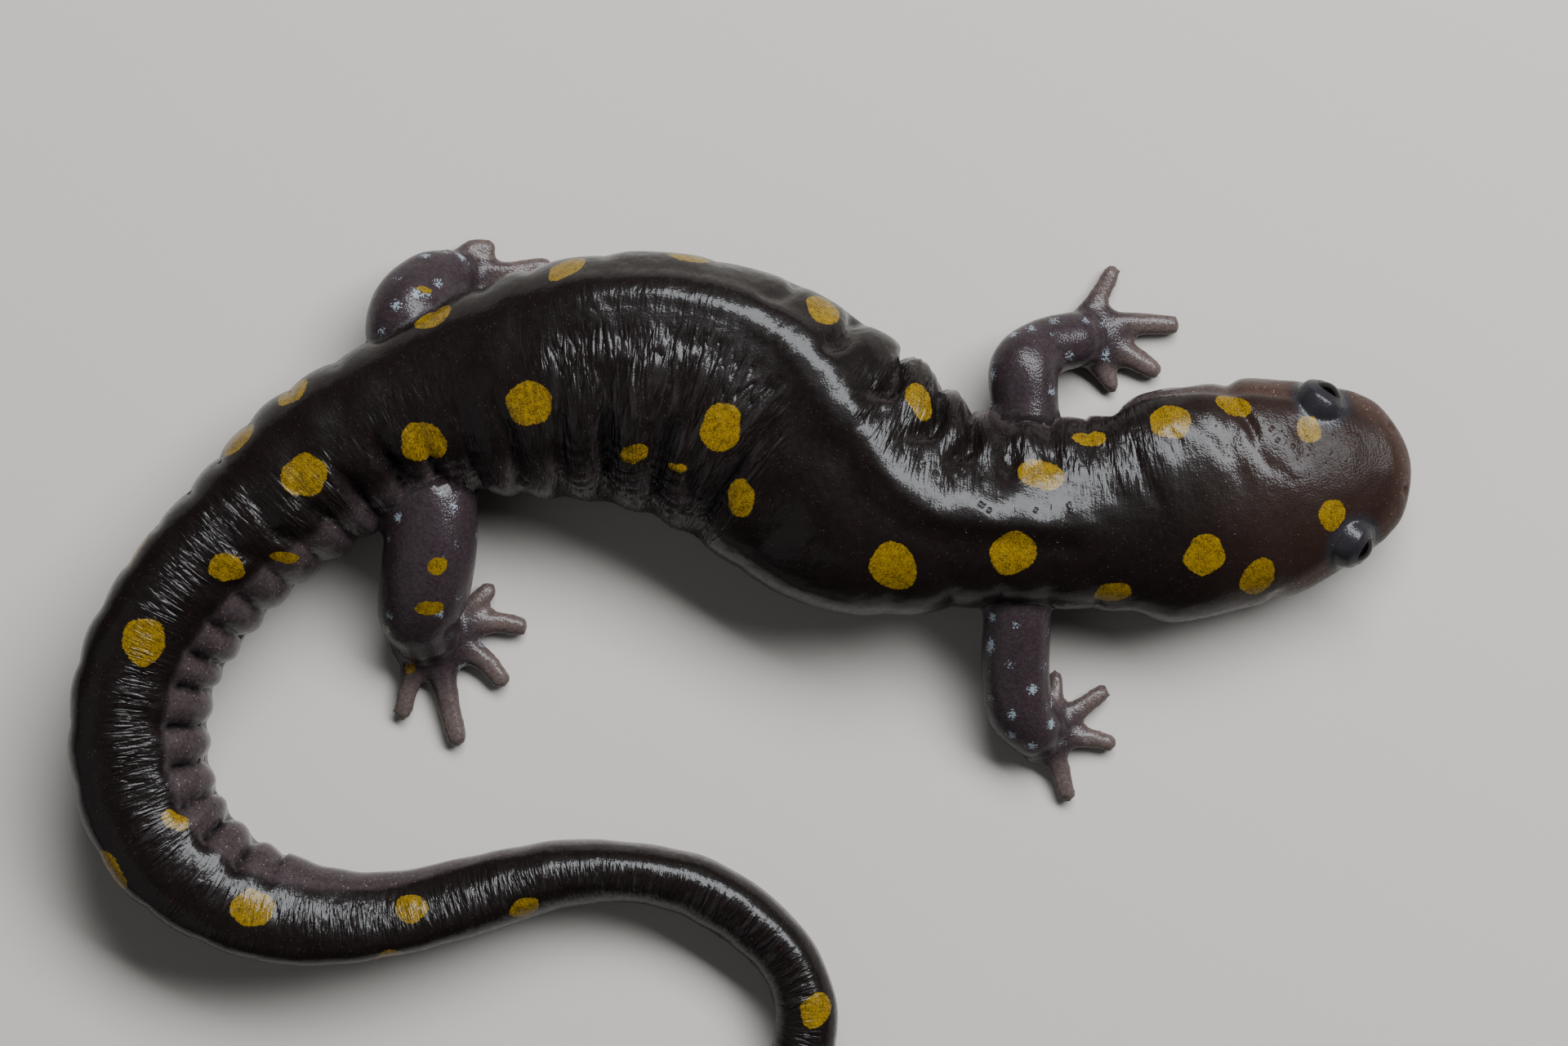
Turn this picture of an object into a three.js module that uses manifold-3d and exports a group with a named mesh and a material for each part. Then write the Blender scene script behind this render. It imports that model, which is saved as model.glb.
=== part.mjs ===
/**
 * A spotted salamander, life size, lying at rest with its tail curled round towards its chin.
 *
 * Millimetres, +Z up. +X runs from the bend of the tail to the snout and +Y to the animal's left.
 * The origin is on the floor, under the middle of the whole plan. Head, neck, torso and tail are
 * one lofted skin that thin cuts across the spine part into lengths. Each limb is a chain of
 * lofts, every one trimmed to the piece that it grows from, and each hand and foot is a palm with
 * its digits joined on. Everything that lies on the floor is cut flat at z = 0.
 */
import * as THREE from "three";
import { mergeVertices } from "three/addons/utils/BufferGeometryUtils.js";
import Module from "manifold-3d";

const wasm = await Module();
wasm.setup();
const { Manifold, Mesh: SolidMesh } = wasm;

// ---- Driving dimensions ----

const LENGTH = 212; // snout to tail tip, along the spine
const CLEARANCE = 0.3; // between neighbouring pieces

// The line of the spine seen from above: distance behind the snout, x, y.
const SPINE = [
  [0, 55.1, 20.7],
  [9, 46.3, 18.75],
  [18, 37.5, 16.9],
  [25, 30.5, 16.0],
  [34, 21.5, 16.15],
  [41, 14.65, 17.1],
  [48, 8.15, 19.5],
  [55, 2.35, 23.3],
  [62, -4.1, 26.05],
  [69, -11.0, 27.0],
  [77, -19.0, 26.1],
  [85, -26.83, 24.15],
  [92, -33.08, 20.8],
  [100, -39.18, 15.55],
  [108, -44.7, 9.7],
  [115, -48.3, 3.75],
  [122, -49.35, -3.1],
  [129, -47.6, -9.85],
  [136, -42.65, -14.65],
  [143, -36.05, -16.95],
  [150, -29.1, -17.05],
  [158, -21.3, -15.35],
  [166, -13.5, -13.65],
  [174, -5.55, -14.3],
  [181, 0.6, -17.5],
  [187, 4.5, -22.0],
  [192, 5.4, -26.85],
  [198, 3.3, -32.4],
  [204, -1.4, -36.05],
  [212, -9.3, -37.2],
];

// Half the width of the body, and the heights of its back, of its widest line and of its belly,
// each against the distance behind the snout. A belly below the floor lies on a flat.
const HALF_WIDTH = [
  [0, 4.8], [1.5, 5.8], [3, 6.1], [6, 7.3], [9, 8.4], [12, 9.15], [16, 9.4], [21, 9.5], [23.8, 8.6],
  [26.5, 8.0], [36, 8.2], [40, 9.6], [44, 10.9], [48, 11.35], [54, 11.4], [61, 11.1], [66, 10.65],
  [72, 9.95], [77, 9.05], [82, 7.8], [87, 6.85], [95, 6.9], [102, 6.1], [112, 5.75], [122, 5.65],
  [130, 5.45],
  [137, 4.8], [144, 4.1], [150, 3.4], [158, 3.2], [170, 2.5], [179, 2.65], [186, 2.5], [192, 2.6],
  [199, 2.3], [206, 1.5], [212, 0.8],
];
const BACK = [
  [0, 6.3], [3, 7.5], [6, 8.6], [10, 9.6], [16, 10.4], [24, 10.5], [32, 11.4], [38, 12.1],
  [44, 12.9], [50, 13.8], [60, 14.9], [68, 14.6], [76, 13.2], [84, 12.0], [98, 11.8], [114, 11.3],
  [130, 10.2], [146, 8.3], [160, 7.2], [178, 6.2], [194, 5.2], [204, 4.0], [212, 2.2],
];
const SIDE = [
  [0, 3.8], [10, 4.2], [20, 4.7], [32, 5.2], [45, 6.1], [60, 6.5], [80, 5.7], [100, 5.3], [122, 4.9],
  [145, 4.0], [165, 3.3], [190, 2.7], [205, 2.1], [212, 1.2],
];
const BELLY = [
  [0, 1.5], [5, 1.1], [20, 0.9], [27, 0.3], [33, -0.4], [45, -0.9], [65, -1.0], [85, -0.8],
  [120, -0.7], [170, -0.5], [204, -0.35], [212, -0.2],
];
// How far the body rolls on to its left side, in degrees.
const ROLL = [
  [0, 0], [38, 0], [46, 13], [55, 27], [80, 28], [92, 17], [104, 12], [140, 9], [165, 0], [212, 0],
];
const UPPER_POWER = 2.15; // of the superellipse over the widest line, and under it
const LOWER_POWER = 2.6;
// Lengths over which the snout rounds off, seen from above, over and under the mouth, and over
// which the tail's tip does.
const SNOUT_ROUNDING = { across: 4, over: 1.9, under: 3.2 };
const TIP_ROUNDING = 1.6;

// The costal grooves between the limbs, and the folds that carry them on along the tail, by their
// distances behind the snout. They deepen on the inside of a bend, by crowding times its
// curvature, and flatten on the outside.
const TRUNK_GROOVES = [26.6, 30.3, 33.9, 37.4, 41.3, 48.7, 54.8, 62.6, 69, 73.9, 77.4, 81.1, 84.8];
const TAIL_GROOVES = [
  88.4, 92, 95.6, 99, 102.4, 105.8, 109.2, 112.6, 116.2, 120.2, 124.2, 128.4, 132.6, 136.6, 140.4,
];
const GROOVE = { depth: 0.52, crowding: 30, least: 0.4, most: 2.2, fade: 4 };
// How far the grooves and the sections lean back from the left side to the right, halved.
const LEAN = [
  [0, 0], [44, 0], [49, 1.5], [56, 1.5], [63, 0], [212, 0],
];
const DORSAL_FURROW = { from: 25, to: 78, depth: 0.22, halfAngle: 9 };
const GULAR_FOLD = { at: 24.2, depth: 0.75, halfLength: 0.8 };

// The mouth: a groove under the upper lip, which overhangs the lower jaw a little.
const MOUTH = { angle: -11, end: 11.5, depth: 0.42, halfAngle: 4.2, overhang: 0.22 };
const NOSTRIL = { behind: 1.15, angle: 48, radius: 0.36 };

// The eyes look sideways, turned forwards and lifted by some degrees. The lids are a dome round
// each eye, open by so many degrees about its gaze, and less from the upper lid to the lower.
const EYE = { behind: 6.6, aside: 5.75, height: 6.35, radius: 1.6, bulge: 1.9, turn: 46, lift: 18 };
const LID = { radius: 2.15, opening: 48, slant: 0.82 };

// Lengths of the body, by the distances behind the snout at which the cuts lie.
const HEAD_END = 24;
const NECK_END = 34;
const TORSO_CUTS = [NECK_END, 46.8, 62.5, 78.2, 92];
const TORSO_NAMES = ["torso_shoulders", "torso_middle", "torso_rear", "torso_hips"];
const TAIL_CUTS = [92, 104, 116, 128, 140, 155, 170, 183, 196, LENGTH];

const LIMB_FLATNESS = 0.92; // height of a limb's section against its width
const DIGIT_FLATNESS = 0.8;

// Each limb: the middle line of its bones (x, y, z, radius), its palm, and its digits' lines.
const LIMBS = [
  {
    names: ["arm_upper_left", "arm_lower_left", "hand_left"],
    upper: [[23.4, 20.6, 6.0, 2.6], [23.4, 24.6, 5.4, 2.75], [23.1, 27.4, 4.5, 2.8]],
    lower: [[23.4, 28.6, 4.2, 2.5], [25.4, 29.8, 3.3, 2.5], [27.8, 30.4, 2.2, 2.35]],
    palm: { at: [29.4, 30.6, 1.0], radii: [2.6, 2.9, 1.35] },
    digits: [
      [[28.2, 31.6, 1.0, 1.15], [29.6, 33.8, 0.9, 0.8], [30.8, 36.0, 0.7, 0.7]],
      [[29.2, 31.3, 1.0, 1.3], [32.6, 31.7, 0.9, 0.95], [35.8, 31.6, 0.7, 0.8]],
      [[29.6, 30.0, 1.0, 1.3], [32.3, 29.0, 0.9, 1.0], [34.2, 27.9, 0.7, 0.8]],
      [[28.8, 29.4, 1.0, 1.1], [30.0, 27.9, 0.9, 0.85], [30.8, 26.6, 0.7, 0.7]],
    ],
  },
  {
    names: ["arm_upper_right", "arm_lower_right", "hand_right"],
    upper: [[22.8, 11.9, 6.0, 2.7], [22.7, 7.4, 5.4, 2.8], [22.6, 3.4, 4.3, 2.85]],
    lower: [[22.5, 2.4, 4.0, 2.7], [23.1, -0.4, 3.2, 2.75], [24.3, -2.0, 2.2, 2.4]],
    palm: { at: [25.2, -2.2, 1.0], radii: [2.6, 2.9, 1.35] },
    digits: [
      [[25.6, -1.2, 1.0, 1.0], [26.0, 0.9, 0.9, 0.75], [26.1, 2.4, 0.7, 0.65]],
      [[26.0, -1.7, 1.0, 1.1], [28.5, 0.0, 0.9, 0.8], [30.0, 1.1, 0.7, 0.7]],
      [[26.0, -2.4, 1.0, 1.1], [28.8, -2.7, 0.9, 0.8], [30.6, -3.1, 0.7, 0.7]],
      [[25.4, -2.8, 1.0, 1.2], [26.4, -5.2, 0.9, 0.85], [27.0, -7.4, 0.7, 0.75]],
    ],
  },
  {
    names: ["leg_upper_right", "leg_lower_right", "foot_right"],
    upper: [[-25.2, 21.0, 6.0, 3.2], [-25.35, 15.0, 5.9, 3.8], [-25.7, 10.6, 5.1, 3.85]],
    lower: [[-26.2, 9.8, 4.8, 3.65], [-26.6, 7.6, 3.7, 3.4], [-26.2, 6.2, 2.5, 2.8]],
    palm: { at: [-25.6, 5.4, 1.0], radii: [3.7, 3.0, 1.4] },
    digits: [
      [[-24.2, 6.4, 1.0, 1.1], [-22.2, 8.4, 1.0, 0.85], [-21.0, 9.6, 0.8, 0.75]],
      [[-24.0, 6.0, 1.0, 1.2], [-20.9, 6.9, 0.9, 0.9], [-18.4, 6.6, 0.7, 0.8]],
      [[-24.2, 5.2, 1.0, 1.2], [-21.4, 3.8, 0.9, 0.9], [-20.0, 2.1, 0.7, 0.8]],
      [[-25.1, 4.7, 1.0, 1.3], [-24.5, 0.8, 0.9, 0.95], [-23.7, -2.7, 0.7, 0.85]],
      [[-26.8, 4.8, 1.0, 1.2], [-27.6, 1.8, 0.9, 0.85], [-28.2, -0.6, 0.7, 0.75]],
    ],
  },
  {
    names: ["leg_upper_left", "leg_lower_left", "foot_left"],
    upper: [[-26.3, 26.8, 5.8, 3.2], [-27.1, 29.6, 5.5, 3.7], [-27.3, 32.1, 5.1, 3.6]],
    lower: [[-26.9, 33.2, 4.7, 3.2], [-25.7, 34.9, 3.6, 2.8], [-24.2, 35.7, 2.5, 2.2]],
    palm: { at: [-23.2, 35.8, 1.0], radii: [2.6, 2.2, 1.3] },
    digits: [
      [[-23.8, 36.4, 1.0, 0.95], [-22.4, 37.8, 1.0, 0.85], [-21.0, 38.0, 0.8, 0.75]],
      [[-23.2, 36.0, 1.0, 1.05], [-19.2, 35.9, 1.0, 0.95], [-16.4, 36.5, 0.8, 0.8]],
      [[-23.0, 35.7, 1.0, 1.1], [-20.0, 34.8, 0.9, 0.9], [-17.6, 34.8, 0.7, 0.75]],
      [[-22.8, 35.4, 1.0, 1.1], [-20.8, 34.0, 0.9, 0.85], [-18.8, 33.4, 0.7, 0.7]],
      [[-23.4, 35.0, 1.0, 1.0], [-22.4, 33.4, 0.9, 0.8], [-21.2, 32.3, 0.7, 0.7]],
    ],
  },
];

// How finely the lofts are divided.
const TORSO_COLUMNS = 32;
const TAIL_COLUMNS = 24;
const FAR_TAIL_COLUMNS = 18;
const FAR_TAIL = 140; // distance behind the snout from which the tail has fewer columns
const FAR_TAIL_STEP = 2;
const HEAD_STEP = 1.4;
const GROOVE_STEP = 1.35; // between rings where the grooves lie, at most about
const SNOUT_RINGS = 7;
const EYE_COLUMNS = 20;
const EYE_ROWS = 12;
const LIMB_COLUMNS = 14;
const LIMB_RINGS = 5;
const DIGIT_COLUMNS = 8;
const DIGIT_RINGS = 4;
const ROUND_END_RINGS = 2;

// ---- Finishes ----

const skin = (name, color, roughness) =>
  new THREE.MeshStandardMaterial({ name, color, roughness, metalness: 0 });
const BACK_SKIN = skin("wet black back", 0x2b2422, 0.32);
const LIMB_SKIN = skin("grey-brown limb skin", 0x4a3f40, 0.4);
const TAIL_SKIN = skin("wet black tail", 0x302926, 0.32);
const EYE_GLOSS = skin("black eye", 0x050505, 0.08);

// ---- Small helpers ----

const DEGREE = Math.PI / 180;
const FULL_TURN = 2 * Math.PI;

/** A smooth curve of one value through hand-chosen [distance, value] pairs. */
function profile(pairs) {
  const slopes = pairs.map((_, i) => {
    const [before, valueBefore] = pairs[Math.max(i - 1, 0)];
    const [after, valueAfter] = pairs[Math.min(i + 1, pairs.length - 1)];
    return (valueAfter - valueBefore) / (after - before);
  });
  return (distance) => {
    let i = pairs.findIndex(([at]) => at > distance) - 1;
    if (i < 0) i = distance < pairs[0][0] ? 0 : pairs.length - 2;
    const [[from, a], [to, b]] = [pairs[i], pairs[i + 1]];
    const span = to - from;
    const t = THREE.MathUtils.clamp((distance - from) / span, 0, 1);
    const rise = t * t * (3 - 2 * t);
    const leave = t * (1 - t) * (1 - t) * slopes[i];
    const arrive = t * t * (1 - t) * slopes[i + 1];
    return a + (b - a) * rise + (leave - arrive) * span;
  };
}

/** A closed three.js geometry as a solid that can be cut and joined. */
function solidOf(geometry) {
  geometry.deleteAttribute("normal");
  geometry.deleteAttribute("uv");
  const merged = mergeVertices(geometry);
  return new Manifold(
    new SolidMesh({
      numProp: 3,
      vertProperties: new Float32Array(merged.getAttribute("position").array),
      triVerts: new Uint32Array(merged.index.array),
    }),
  );
}

/** The largest closed surface of a solid, as a named mesh. */
function meshOf(name, solid, material) {
  const pieces = solid.decompose().sort((a, b) => b.volume() - a.volume());
  const { numProp, vertProperties, triVerts } = pieces[0].getMesh();
  const points = new Float32Array((vertProperties.length / numProp) * 3);
  for (let v = 0; v < points.length / 3; v++) {
    points.set(vertProperties.subarray(v * numProp, v * numProp + 3), v * 3);
  }
  const geometry = new THREE.BufferGeometry();
  geometry.setAttribute("position", new THREE.BufferAttribute(points, 3));
  geometry.setIndex(new THREE.BufferAttribute(triVerts, 1));
  geometry.computeVertexNormals();
  const mesh = new THREE.Mesh(geometry, material);
  mesh.name = name;
  return mesh;
}

/**
 * A closed tube whose wall goes through pointOf(row, column), with flat ends about middleOf(row).
 * Rows run from front to back, and columns turn from left over the top to right.
 */
function tube(rows, columns, pointOf, middleOf) {
  const shape = new THREE.CylinderGeometry(1, 1, 1, columns, rows - 1);
  const position = shape.getAttribute("position");
  const corner = new THREE.Vector3();
  for (let v = 0; v < position.count; v++) {
    corner.fromBufferAttribute(position, v);
    const row = Math.round((0.5 - corner.y) * (rows - 1));
    const share = Math.atan2(corner.x, corner.z) / FULL_TURN;
    const column = (Math.round(share * columns) + columns) % columns;
    const inMiddle = Math.hypot(corner.x, corner.z) < 0.5;
    const place = inMiddle ? middleOf(row) : pointOf(row, column);
    position.setXYZ(v, place.x, place.y, place.z);
  }
  return solidOf(shape);
}

/** A ball or ellipsoid, turned and set in its place. */
function ball(centre, radii, columns, rows, turn = new THREE.Euler()) {
  const shape = new THREE.SphereGeometry(1, columns, rows);
  shape.scale(...radii);
  shape.applyQuaternion(new THREE.Quaternion().setFromEuler(turn));
  shape.translate(centre.x, centre.y, centre.z);
  return solidOf(shape);
}

/** A bell-shaped bump of height 1 about zero. */
const bump = (offset, halfWidth) => Math.exp(-((offset / halfWidth) ** 2));

// ---- The skin of head, body and tail ----

const spineX = profile(SPINE.map(([at, x]) => [at, x]));
const spineY = profile(SPINE.map(([at, , y]) => [at, y]));
const halfWidth = profile(HALF_WIDTH);
const back = profile(BACK);
const side = profile(SIDE);
const belly = profile(BELLY);
const roll = profile(ROLL);
const lean = profile(LEAN);

/** How full the section is: 1 along the body, falling to 0 where the snout and tip round off. */
function fullness(distance, snoutRounding) {
  const snout = Math.min(distance / snoutRounding, 1);
  const tip = Math.min((LENGTH - distance) / TIP_ROUNDING, 1);
  return Math.sqrt(1 - (1 - snout) ** 2) * Math.sqrt(1 - (1 - tip) ** 2);
}

/** The spine's point at a distance behind the snout, and the way to the animal's left there. */
function spineAt(distance) {
  const reach = 0.5;
  const ahead = Math.max(distance - reach, 0);
  const behind = Math.min(distance + reach, LENGTH);
  const way = new THREE.Vector2(
    spineX(behind) - spineX(ahead),
    spineY(behind) - spineY(ahead),
  ).normalize();
  return {
    middle: new THREE.Vector3(spineX(distance), spineY(distance), side(distance)),
    left: new THREE.Vector3(way.y, -way.x, 0),
    backward: new THREE.Vector3(way.x, way.y, 0),
  };
}

/** How sharply the spine bends towards the animal's left at a distance, per millimetre. */
function bendToLeft(distance) {
  const reach = 3;
  const ahead = spineAt(distance - reach);
  const behind = spineAt(distance + reach);
  const change = behind.backward.sub(ahead.backward).divideScalar(2 * reach);
  return change.dot(spineAt(distance).left);
}

const GROOVES = [...TRUNK_GROOVES, ...TAIL_GROOVES];
const FIRST_GROOVE = GROOVES[0];
const LAST_GROOVE = GROOVES.at(-1);

/** Depth of the grooves at a distance, 1 at each and 0 on the crest of the lobes between them. */
function grooveShape(distance) {
  if (distance < FIRST_GROOVE - 0.01 || distance > LAST_GROOVE + 0.01) return 0;
  const next = THREE.MathUtils.clamp(
    GROOVES.findIndex((at) => at > distance),
    1,
    GROOVES.length - 1,
  );
  const share = (distance - GROOVES[next - 1]) / (GROOVES[next] - GROOVES[next - 1]);
  return 1 - Math.abs(Math.sin(Math.PI * share)) ** 0.8;
}

/** Depth of the grooves at a distance and an angle in degrees, deeper inside a bend. */
function grooveDepth(distance, angle) {
  const { smoothstep, clamp } = THREE.MathUtils;
  const fadeIn = smoothstep(distance, FIRST_GROOVE - GROOVE.fade, FIRST_GROOVE + GROOVE.fade);
  const fadeOut = 1 - smoothstep(distance, LAST_GROOVE - GROOVE.fade, LAST_GROOVE + GROOVE.fade);
  const crowded = bendToLeft(distance) * Math.cos((angle - roll(distance)) * DEGREE);
  const gain = clamp(1 + GROOVE.crowding * crowded, GROOVE.least, GROOVE.most);
  return GROOVE.depth * gain * fadeIn * fadeOut * grooveShape(distance);
}

/** How far folds and grooves sink the skin at a distance and an angle in degrees. */
function sink(distance, angle) {
  const { smoothstep } = THREE.MathUtils;
  const offBack = Math.abs(angle - 90);
  const onFlank = smoothstep(offBack, 28, 52) * (1 - smoothstep(offBack, 112, 138));
  const { from, to } = DORSAL_FURROW;
  const inFurrow = smoothstep(distance, from, from + 5) * (1 - smoothstep(distance, to - 5, to));
  const furrow = inFurrow * bump(offBack, DORSAL_FURROW.halfAngle) * DORSAL_FURROW.depth;
  const offThroat = 180 - offBack;
  const throat = 1 - smoothstep(offThroat, 80, 115);
  const gular = throat * bump(distance - GULAR_FOLD.at, GULAR_FOLD.halfLength) * GULAR_FOLD.depth;
  const grooves = onFlank > 0 ? onFlank * grooveDepth(distance, angle) : 0;
  return grooves + furrow + gular + mouthDepth(distance, offBack - 90);
}

/** Depth of the mouth line and of the lower jaw under the lip, by degrees below the widest line. */
function mouthDepth(distance, below) {
  const { smoothstep } = THREE.MathUtils;
  const along = 1 - smoothstep(distance, MOUTH.end - 1.5, MOUTH.end);
  const groove = MOUTH.depth * bump(below + MOUTH.angle, MOUTH.halfAngle);
  const jaw = MOUTH.overhang * smoothstep(below, -MOUTH.angle, -MOUTH.angle + 8);
  return along * (groove + jaw) * fullness(distance, SNOUT_ROUNDING.across);
}

/**
 * A point of the skin. The angle turns round the spine with the animal: 0 is its left side, 90
 * the middle of its back and 180 its right side. The skin may be grown outwards all round.
 */
function skinPoint(distance, angle, grow = 0) {
  const turned = (angle - roll(distance)) * DEGREE;
  const [across, up] = [Math.cos(turned), Math.sin(turned)];
  const at = distance - lean(distance) * across;
  const { middle, left } = spineAt(at);
  const power = 2 / (up > 0 ? UPPER_POWER : LOWER_POWER);
  const width = halfWidth(at) * fullness(at, SNOUT_ROUNDING.across) + grow;
  const over = (back(at) - side(at)) * fullness(at, SNOUT_ROUNDING.over) + grow;
  const under = (side(at) - belly(at)) * fullness(at, SNOUT_ROUNDING.under) + grow;
  const aside = Math.sign(across) * Math.abs(across) ** power * width;
  const rise = Math.sign(up) * Math.abs(up) ** power * (up > 0 ? over : under);
  const kept = 1 - sink(distance, angle) / Math.hypot(aside, rise);
  return middle.addScaledVector(left, aside * kept).setZ(middle.z + rise * kept);
}

/** Distances from one place to another in even steps of about the given size. */
function evenSteps(from, to, step) {
  const count = Math.max(Math.round((to - from) / step), 1);
  return Array.from({ length: count + 1 }, (_, i) => from + ((to - from) * i) / count);
}

/** Distances from one cut to the next, with one on every groove between them. */
function ringsBetween(from, to, step) {
  const margin = 0.4;
  const grooves = GROOVES.filter((at) => at > from + margin && at < to - margin);
  const marks = [from, ...grooves, to];
  return marks.slice(1).reduce(
    (rings, mark, i) => [...rings, ...evenSteps(marks[i], mark, step).slice(1)],
    [from],
  );
}

/** Angles evenly round the body, one of them on the middle of the back. */
const evenAngles = (count) => Array.from({ length: count }, (_, i) => (i * 360) / count);

/** A length of the body, as a solid between two cuts. */
function bodyLength(rings, angles, grow = 0) {
  return tube(
    rings.length,
    angles.length,
    (row, column) => skinPoint(rings[row], angles[column], grow),
    (row) => spineAt(rings[row]).middle,
  );
}

const FLOOR_SIZE = 300;
const floor = solidOf(
  new THREE.BoxGeometry(FLOOR_SIZE, FLOOR_SIZE, FLOOR_SIZE).translate(0, 0, -FLOOR_SIZE / 2),
);

// ---- Head and eyes ----

/** Angles round the head: closer at the lips, and the same on both sides. */
function headAngles() {
  const rightHalf = [90, 79, 68, 57, 46, 35, 24, 14, 5, -4, -11, -18, -28, -42, -58, -74, -90];
  const leftHalf = rightHalf.slice(1, -1).map((angle) => 180 - angle);
  const all = [...rightHalf, ...leftHalf].map((angle) => (angle + 360) % 360);
  return all.sort((a, b) => a - b);
}

/** Distances of the head's rings, closer where the snout rounds off. */
function headRings() {
  const rounding = SNOUT_ROUNDING.across;
  const snout = Array.from({ length: SNOUT_RINGS }, (_, i) => {
    const turn = (0.07 + (0.93 * i) / SNOUT_RINGS) * 90 * DEGREE;
    return rounding * (1 - Math.cos(turn));
  });
  return [...snout, ...evenSteps(rounding, HEAD_END - CLEARANCE / 2, HEAD_STEP)];
}

/**
 * The place of an eye, as a matrix that takes +Y to its gaze, +X along the opening between the
 * lids and the origin to its middle. Hand is 1 for the left eye and -1 for the right.
 */
function eyePlace(hand) {
  const { middle, left, backward } = spineAt(EYE.behind);
  const centre = middle.addScaledVector(left, hand * EYE.aside).setZ(EYE.height);
  const up = new THREE.Vector3(0, 0, 1);
  const gaze = left.multiplyScalar(hand * Math.cos(EYE.turn * DEGREE));
  gaze.addScaledVector(backward, -Math.sin(EYE.turn * DEGREE));
  gaze.addScaledVector(up, Math.tan(EYE.lift * DEGREE)).normalize();
  const along = new THREE.Vector3().crossVectors(gaze, up).normalize();
  const across = new THREE.Vector3().crossVectors(along, gaze);
  return new THREE.Matrix4().makeBasis(along, gaze, across).setPosition(centre);
}

/** A ball about an eye, its poles on the gaze. The front may reach further out than the rest. */
function eyeBall(hand, radius, front = radius) {
  const shape = new THREE.SphereGeometry(radius, EYE_COLUMNS, EYE_ROWS);
  const position = shape.getAttribute("position");
  for (let v = 0; v < position.count; v++) {
    const ahead = Math.max(position.getY(v) / radius, 0);
    position.setY(v, position.getY(v) + (front - radius) * ahead ** 3);
  }
  return solidOf(shape.applyMatrix4(eyePlace(hand)));
}

/** The wedge of space that the lids leave open in front of one eye. */
function lidOpening(hand) {
  const reach = LID.radius * 1.2;
  const shape = new THREE.ConeGeometry(Math.tan(LID.opening * DEGREE) * reach, reach, EYE_COLUMNS);
  shape.rotateX(Math.PI).translate(0, reach / 2, 0).scale(1, 1, LID.slant);
  return solidOf(shape.applyMatrix4(eyePlace(hand))).intersect(eyeBall(hand, LID.radius + 0.03));
}

/** The pit of one nostril. */
function nostrilPit(hand) {
  const angle = hand > 0 ? NOSTRIL.angle : 180 - NOSTRIL.angle;
  const { radius } = NOSTRIL;
  return ball(skinPoint(NOSTRIL.behind, angle), [radius, radius, radius], 8, 6);
}

const group = new THREE.Group();
const HANDS = [
  ["left", 1],
  ["right", -1],
];

let head = bodyLength(headRings(), headAngles());
for (const [, hand] of HANDS) {
  const hollow = eyeBall(hand, EYE.radius + CLEARANCE).add(lidOpening(hand));
  head = head.add(eyeBall(hand, LID.radius)).subtract(hollow).subtract(nostrilPit(hand));
}
group.add(meshOf("head", head, BACK_SKIN));
for (const [name, hand] of HANDS) {
  group.add(meshOf(`eye_${name}`, eyeBall(hand, EYE.radius, EYE.bulge), EYE_GLOSS));
}

// ---- Neck, torso and tail ----

/** One length of the body on the floor, with its half of the clearance off each end. */
function addLength(name, from, to, step, columns, material) {
  const end = to === LENGTH ? to - TIP_ROUNDING : to - CLEARANCE / 2;
  const rings = ringsBetween(from + CLEARANCE / 2, end, step);
  if (to === LENGTH) {
    for (const share of [0.4, 0.7, 0.9, 0.985]) rings.push(to - TIP_ROUNDING * (1 - share));
  }
  const solid = bodyLength(rings, evenAngles(columns)).subtract(floor);
  group.add(meshOf(name, solid, material));
}

addLength("neck", HEAD_END, NECK_END, GROOVE_STEP, TORSO_COLUMNS, BACK_SKIN);
TORSO_NAMES.forEach((name, i) => {
  addLength(name, TORSO_CUTS[i], TORSO_CUTS[i + 1], GROOVE_STEP, TORSO_COLUMNS, BACK_SKIN);
});
for (let i = 1; i < TAIL_CUTS.length; i++) {
  const [from, to] = [TAIL_CUTS[i - 1], TAIL_CUTS[i]];
  const far = from >= FAR_TAIL;
  const step = far ? FAR_TAIL_STEP : GROOVE_STEP;
  const columns = far ? FAR_TAIL_COLUMNS : TAIL_COLUMNS;
  addLength(`tail_${i}`, from, to, step, columns, TAIL_SKIN);
}

// ---- Limbs ----

/**
 * A limb or digit along a line of [x, y, z, radius] points, round at both ends, grown outwards
 * all round by grow.
 */
function limb(line, flatness, columns, rings, grow = 0) {
  const path = new THREE.CatmullRomCurve3(line.map(([x, y, z]) => new THREE.Vector3(x, y, z)));
  const radiusAt = profile(line.map(([, , , radius], i) => [i / (line.length - 1), radius]));
  const cap = Array.from({ length: ROUND_END_RINGS }, (_, i) => {
    const turn = ((i + 1) / (ROUND_END_RINGS + 0.2)) * 90 * DEGREE;
    return { past: Math.sin(turn), full: Math.cos(turn) };
  });
  const rows = [
    ...cap.toReversed().map(({ past, full }) => ({ share: 0, past: -past, full })),
    ...Array.from({ length: rings }, (_, i) => ({ share: i / (rings - 1), past: 0, full: 1 })),
    ...cap.map(({ past, full }) => ({ share: 1, past, full })),
  ];
  const up = new THREE.Vector3(0, 0, 1);
  const middleOf = (row) => {
    const { share, past } = rows[row];
    const beyond = past * (radiusAt(share) * flatness + grow);
    return path.getPointAt(share).addScaledVector(path.getTangentAt(share), beyond);
  };
  const pointOf = (row, column) => {
    const { share, full } = rows[row];
    const ahead = path.getTangentAt(share);
    const left = new THREE.Vector3().crossVectors(up, ahead).normalize();
    const top = new THREE.Vector3().crossVectors(ahead, left);
    const turn = (column / columns) * FULL_TURN;
    const radius = radiusAt(share);
    return middleOf(row)
      .addScaledVector(left, -Math.cos(turn) * (radius + grow) * full)
      .addScaledVector(top, Math.sin(turn) * (radius * flatness + grow) * full);
  };
  return tube(rows.length, columns, pointOf, middleOf);
}

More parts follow.
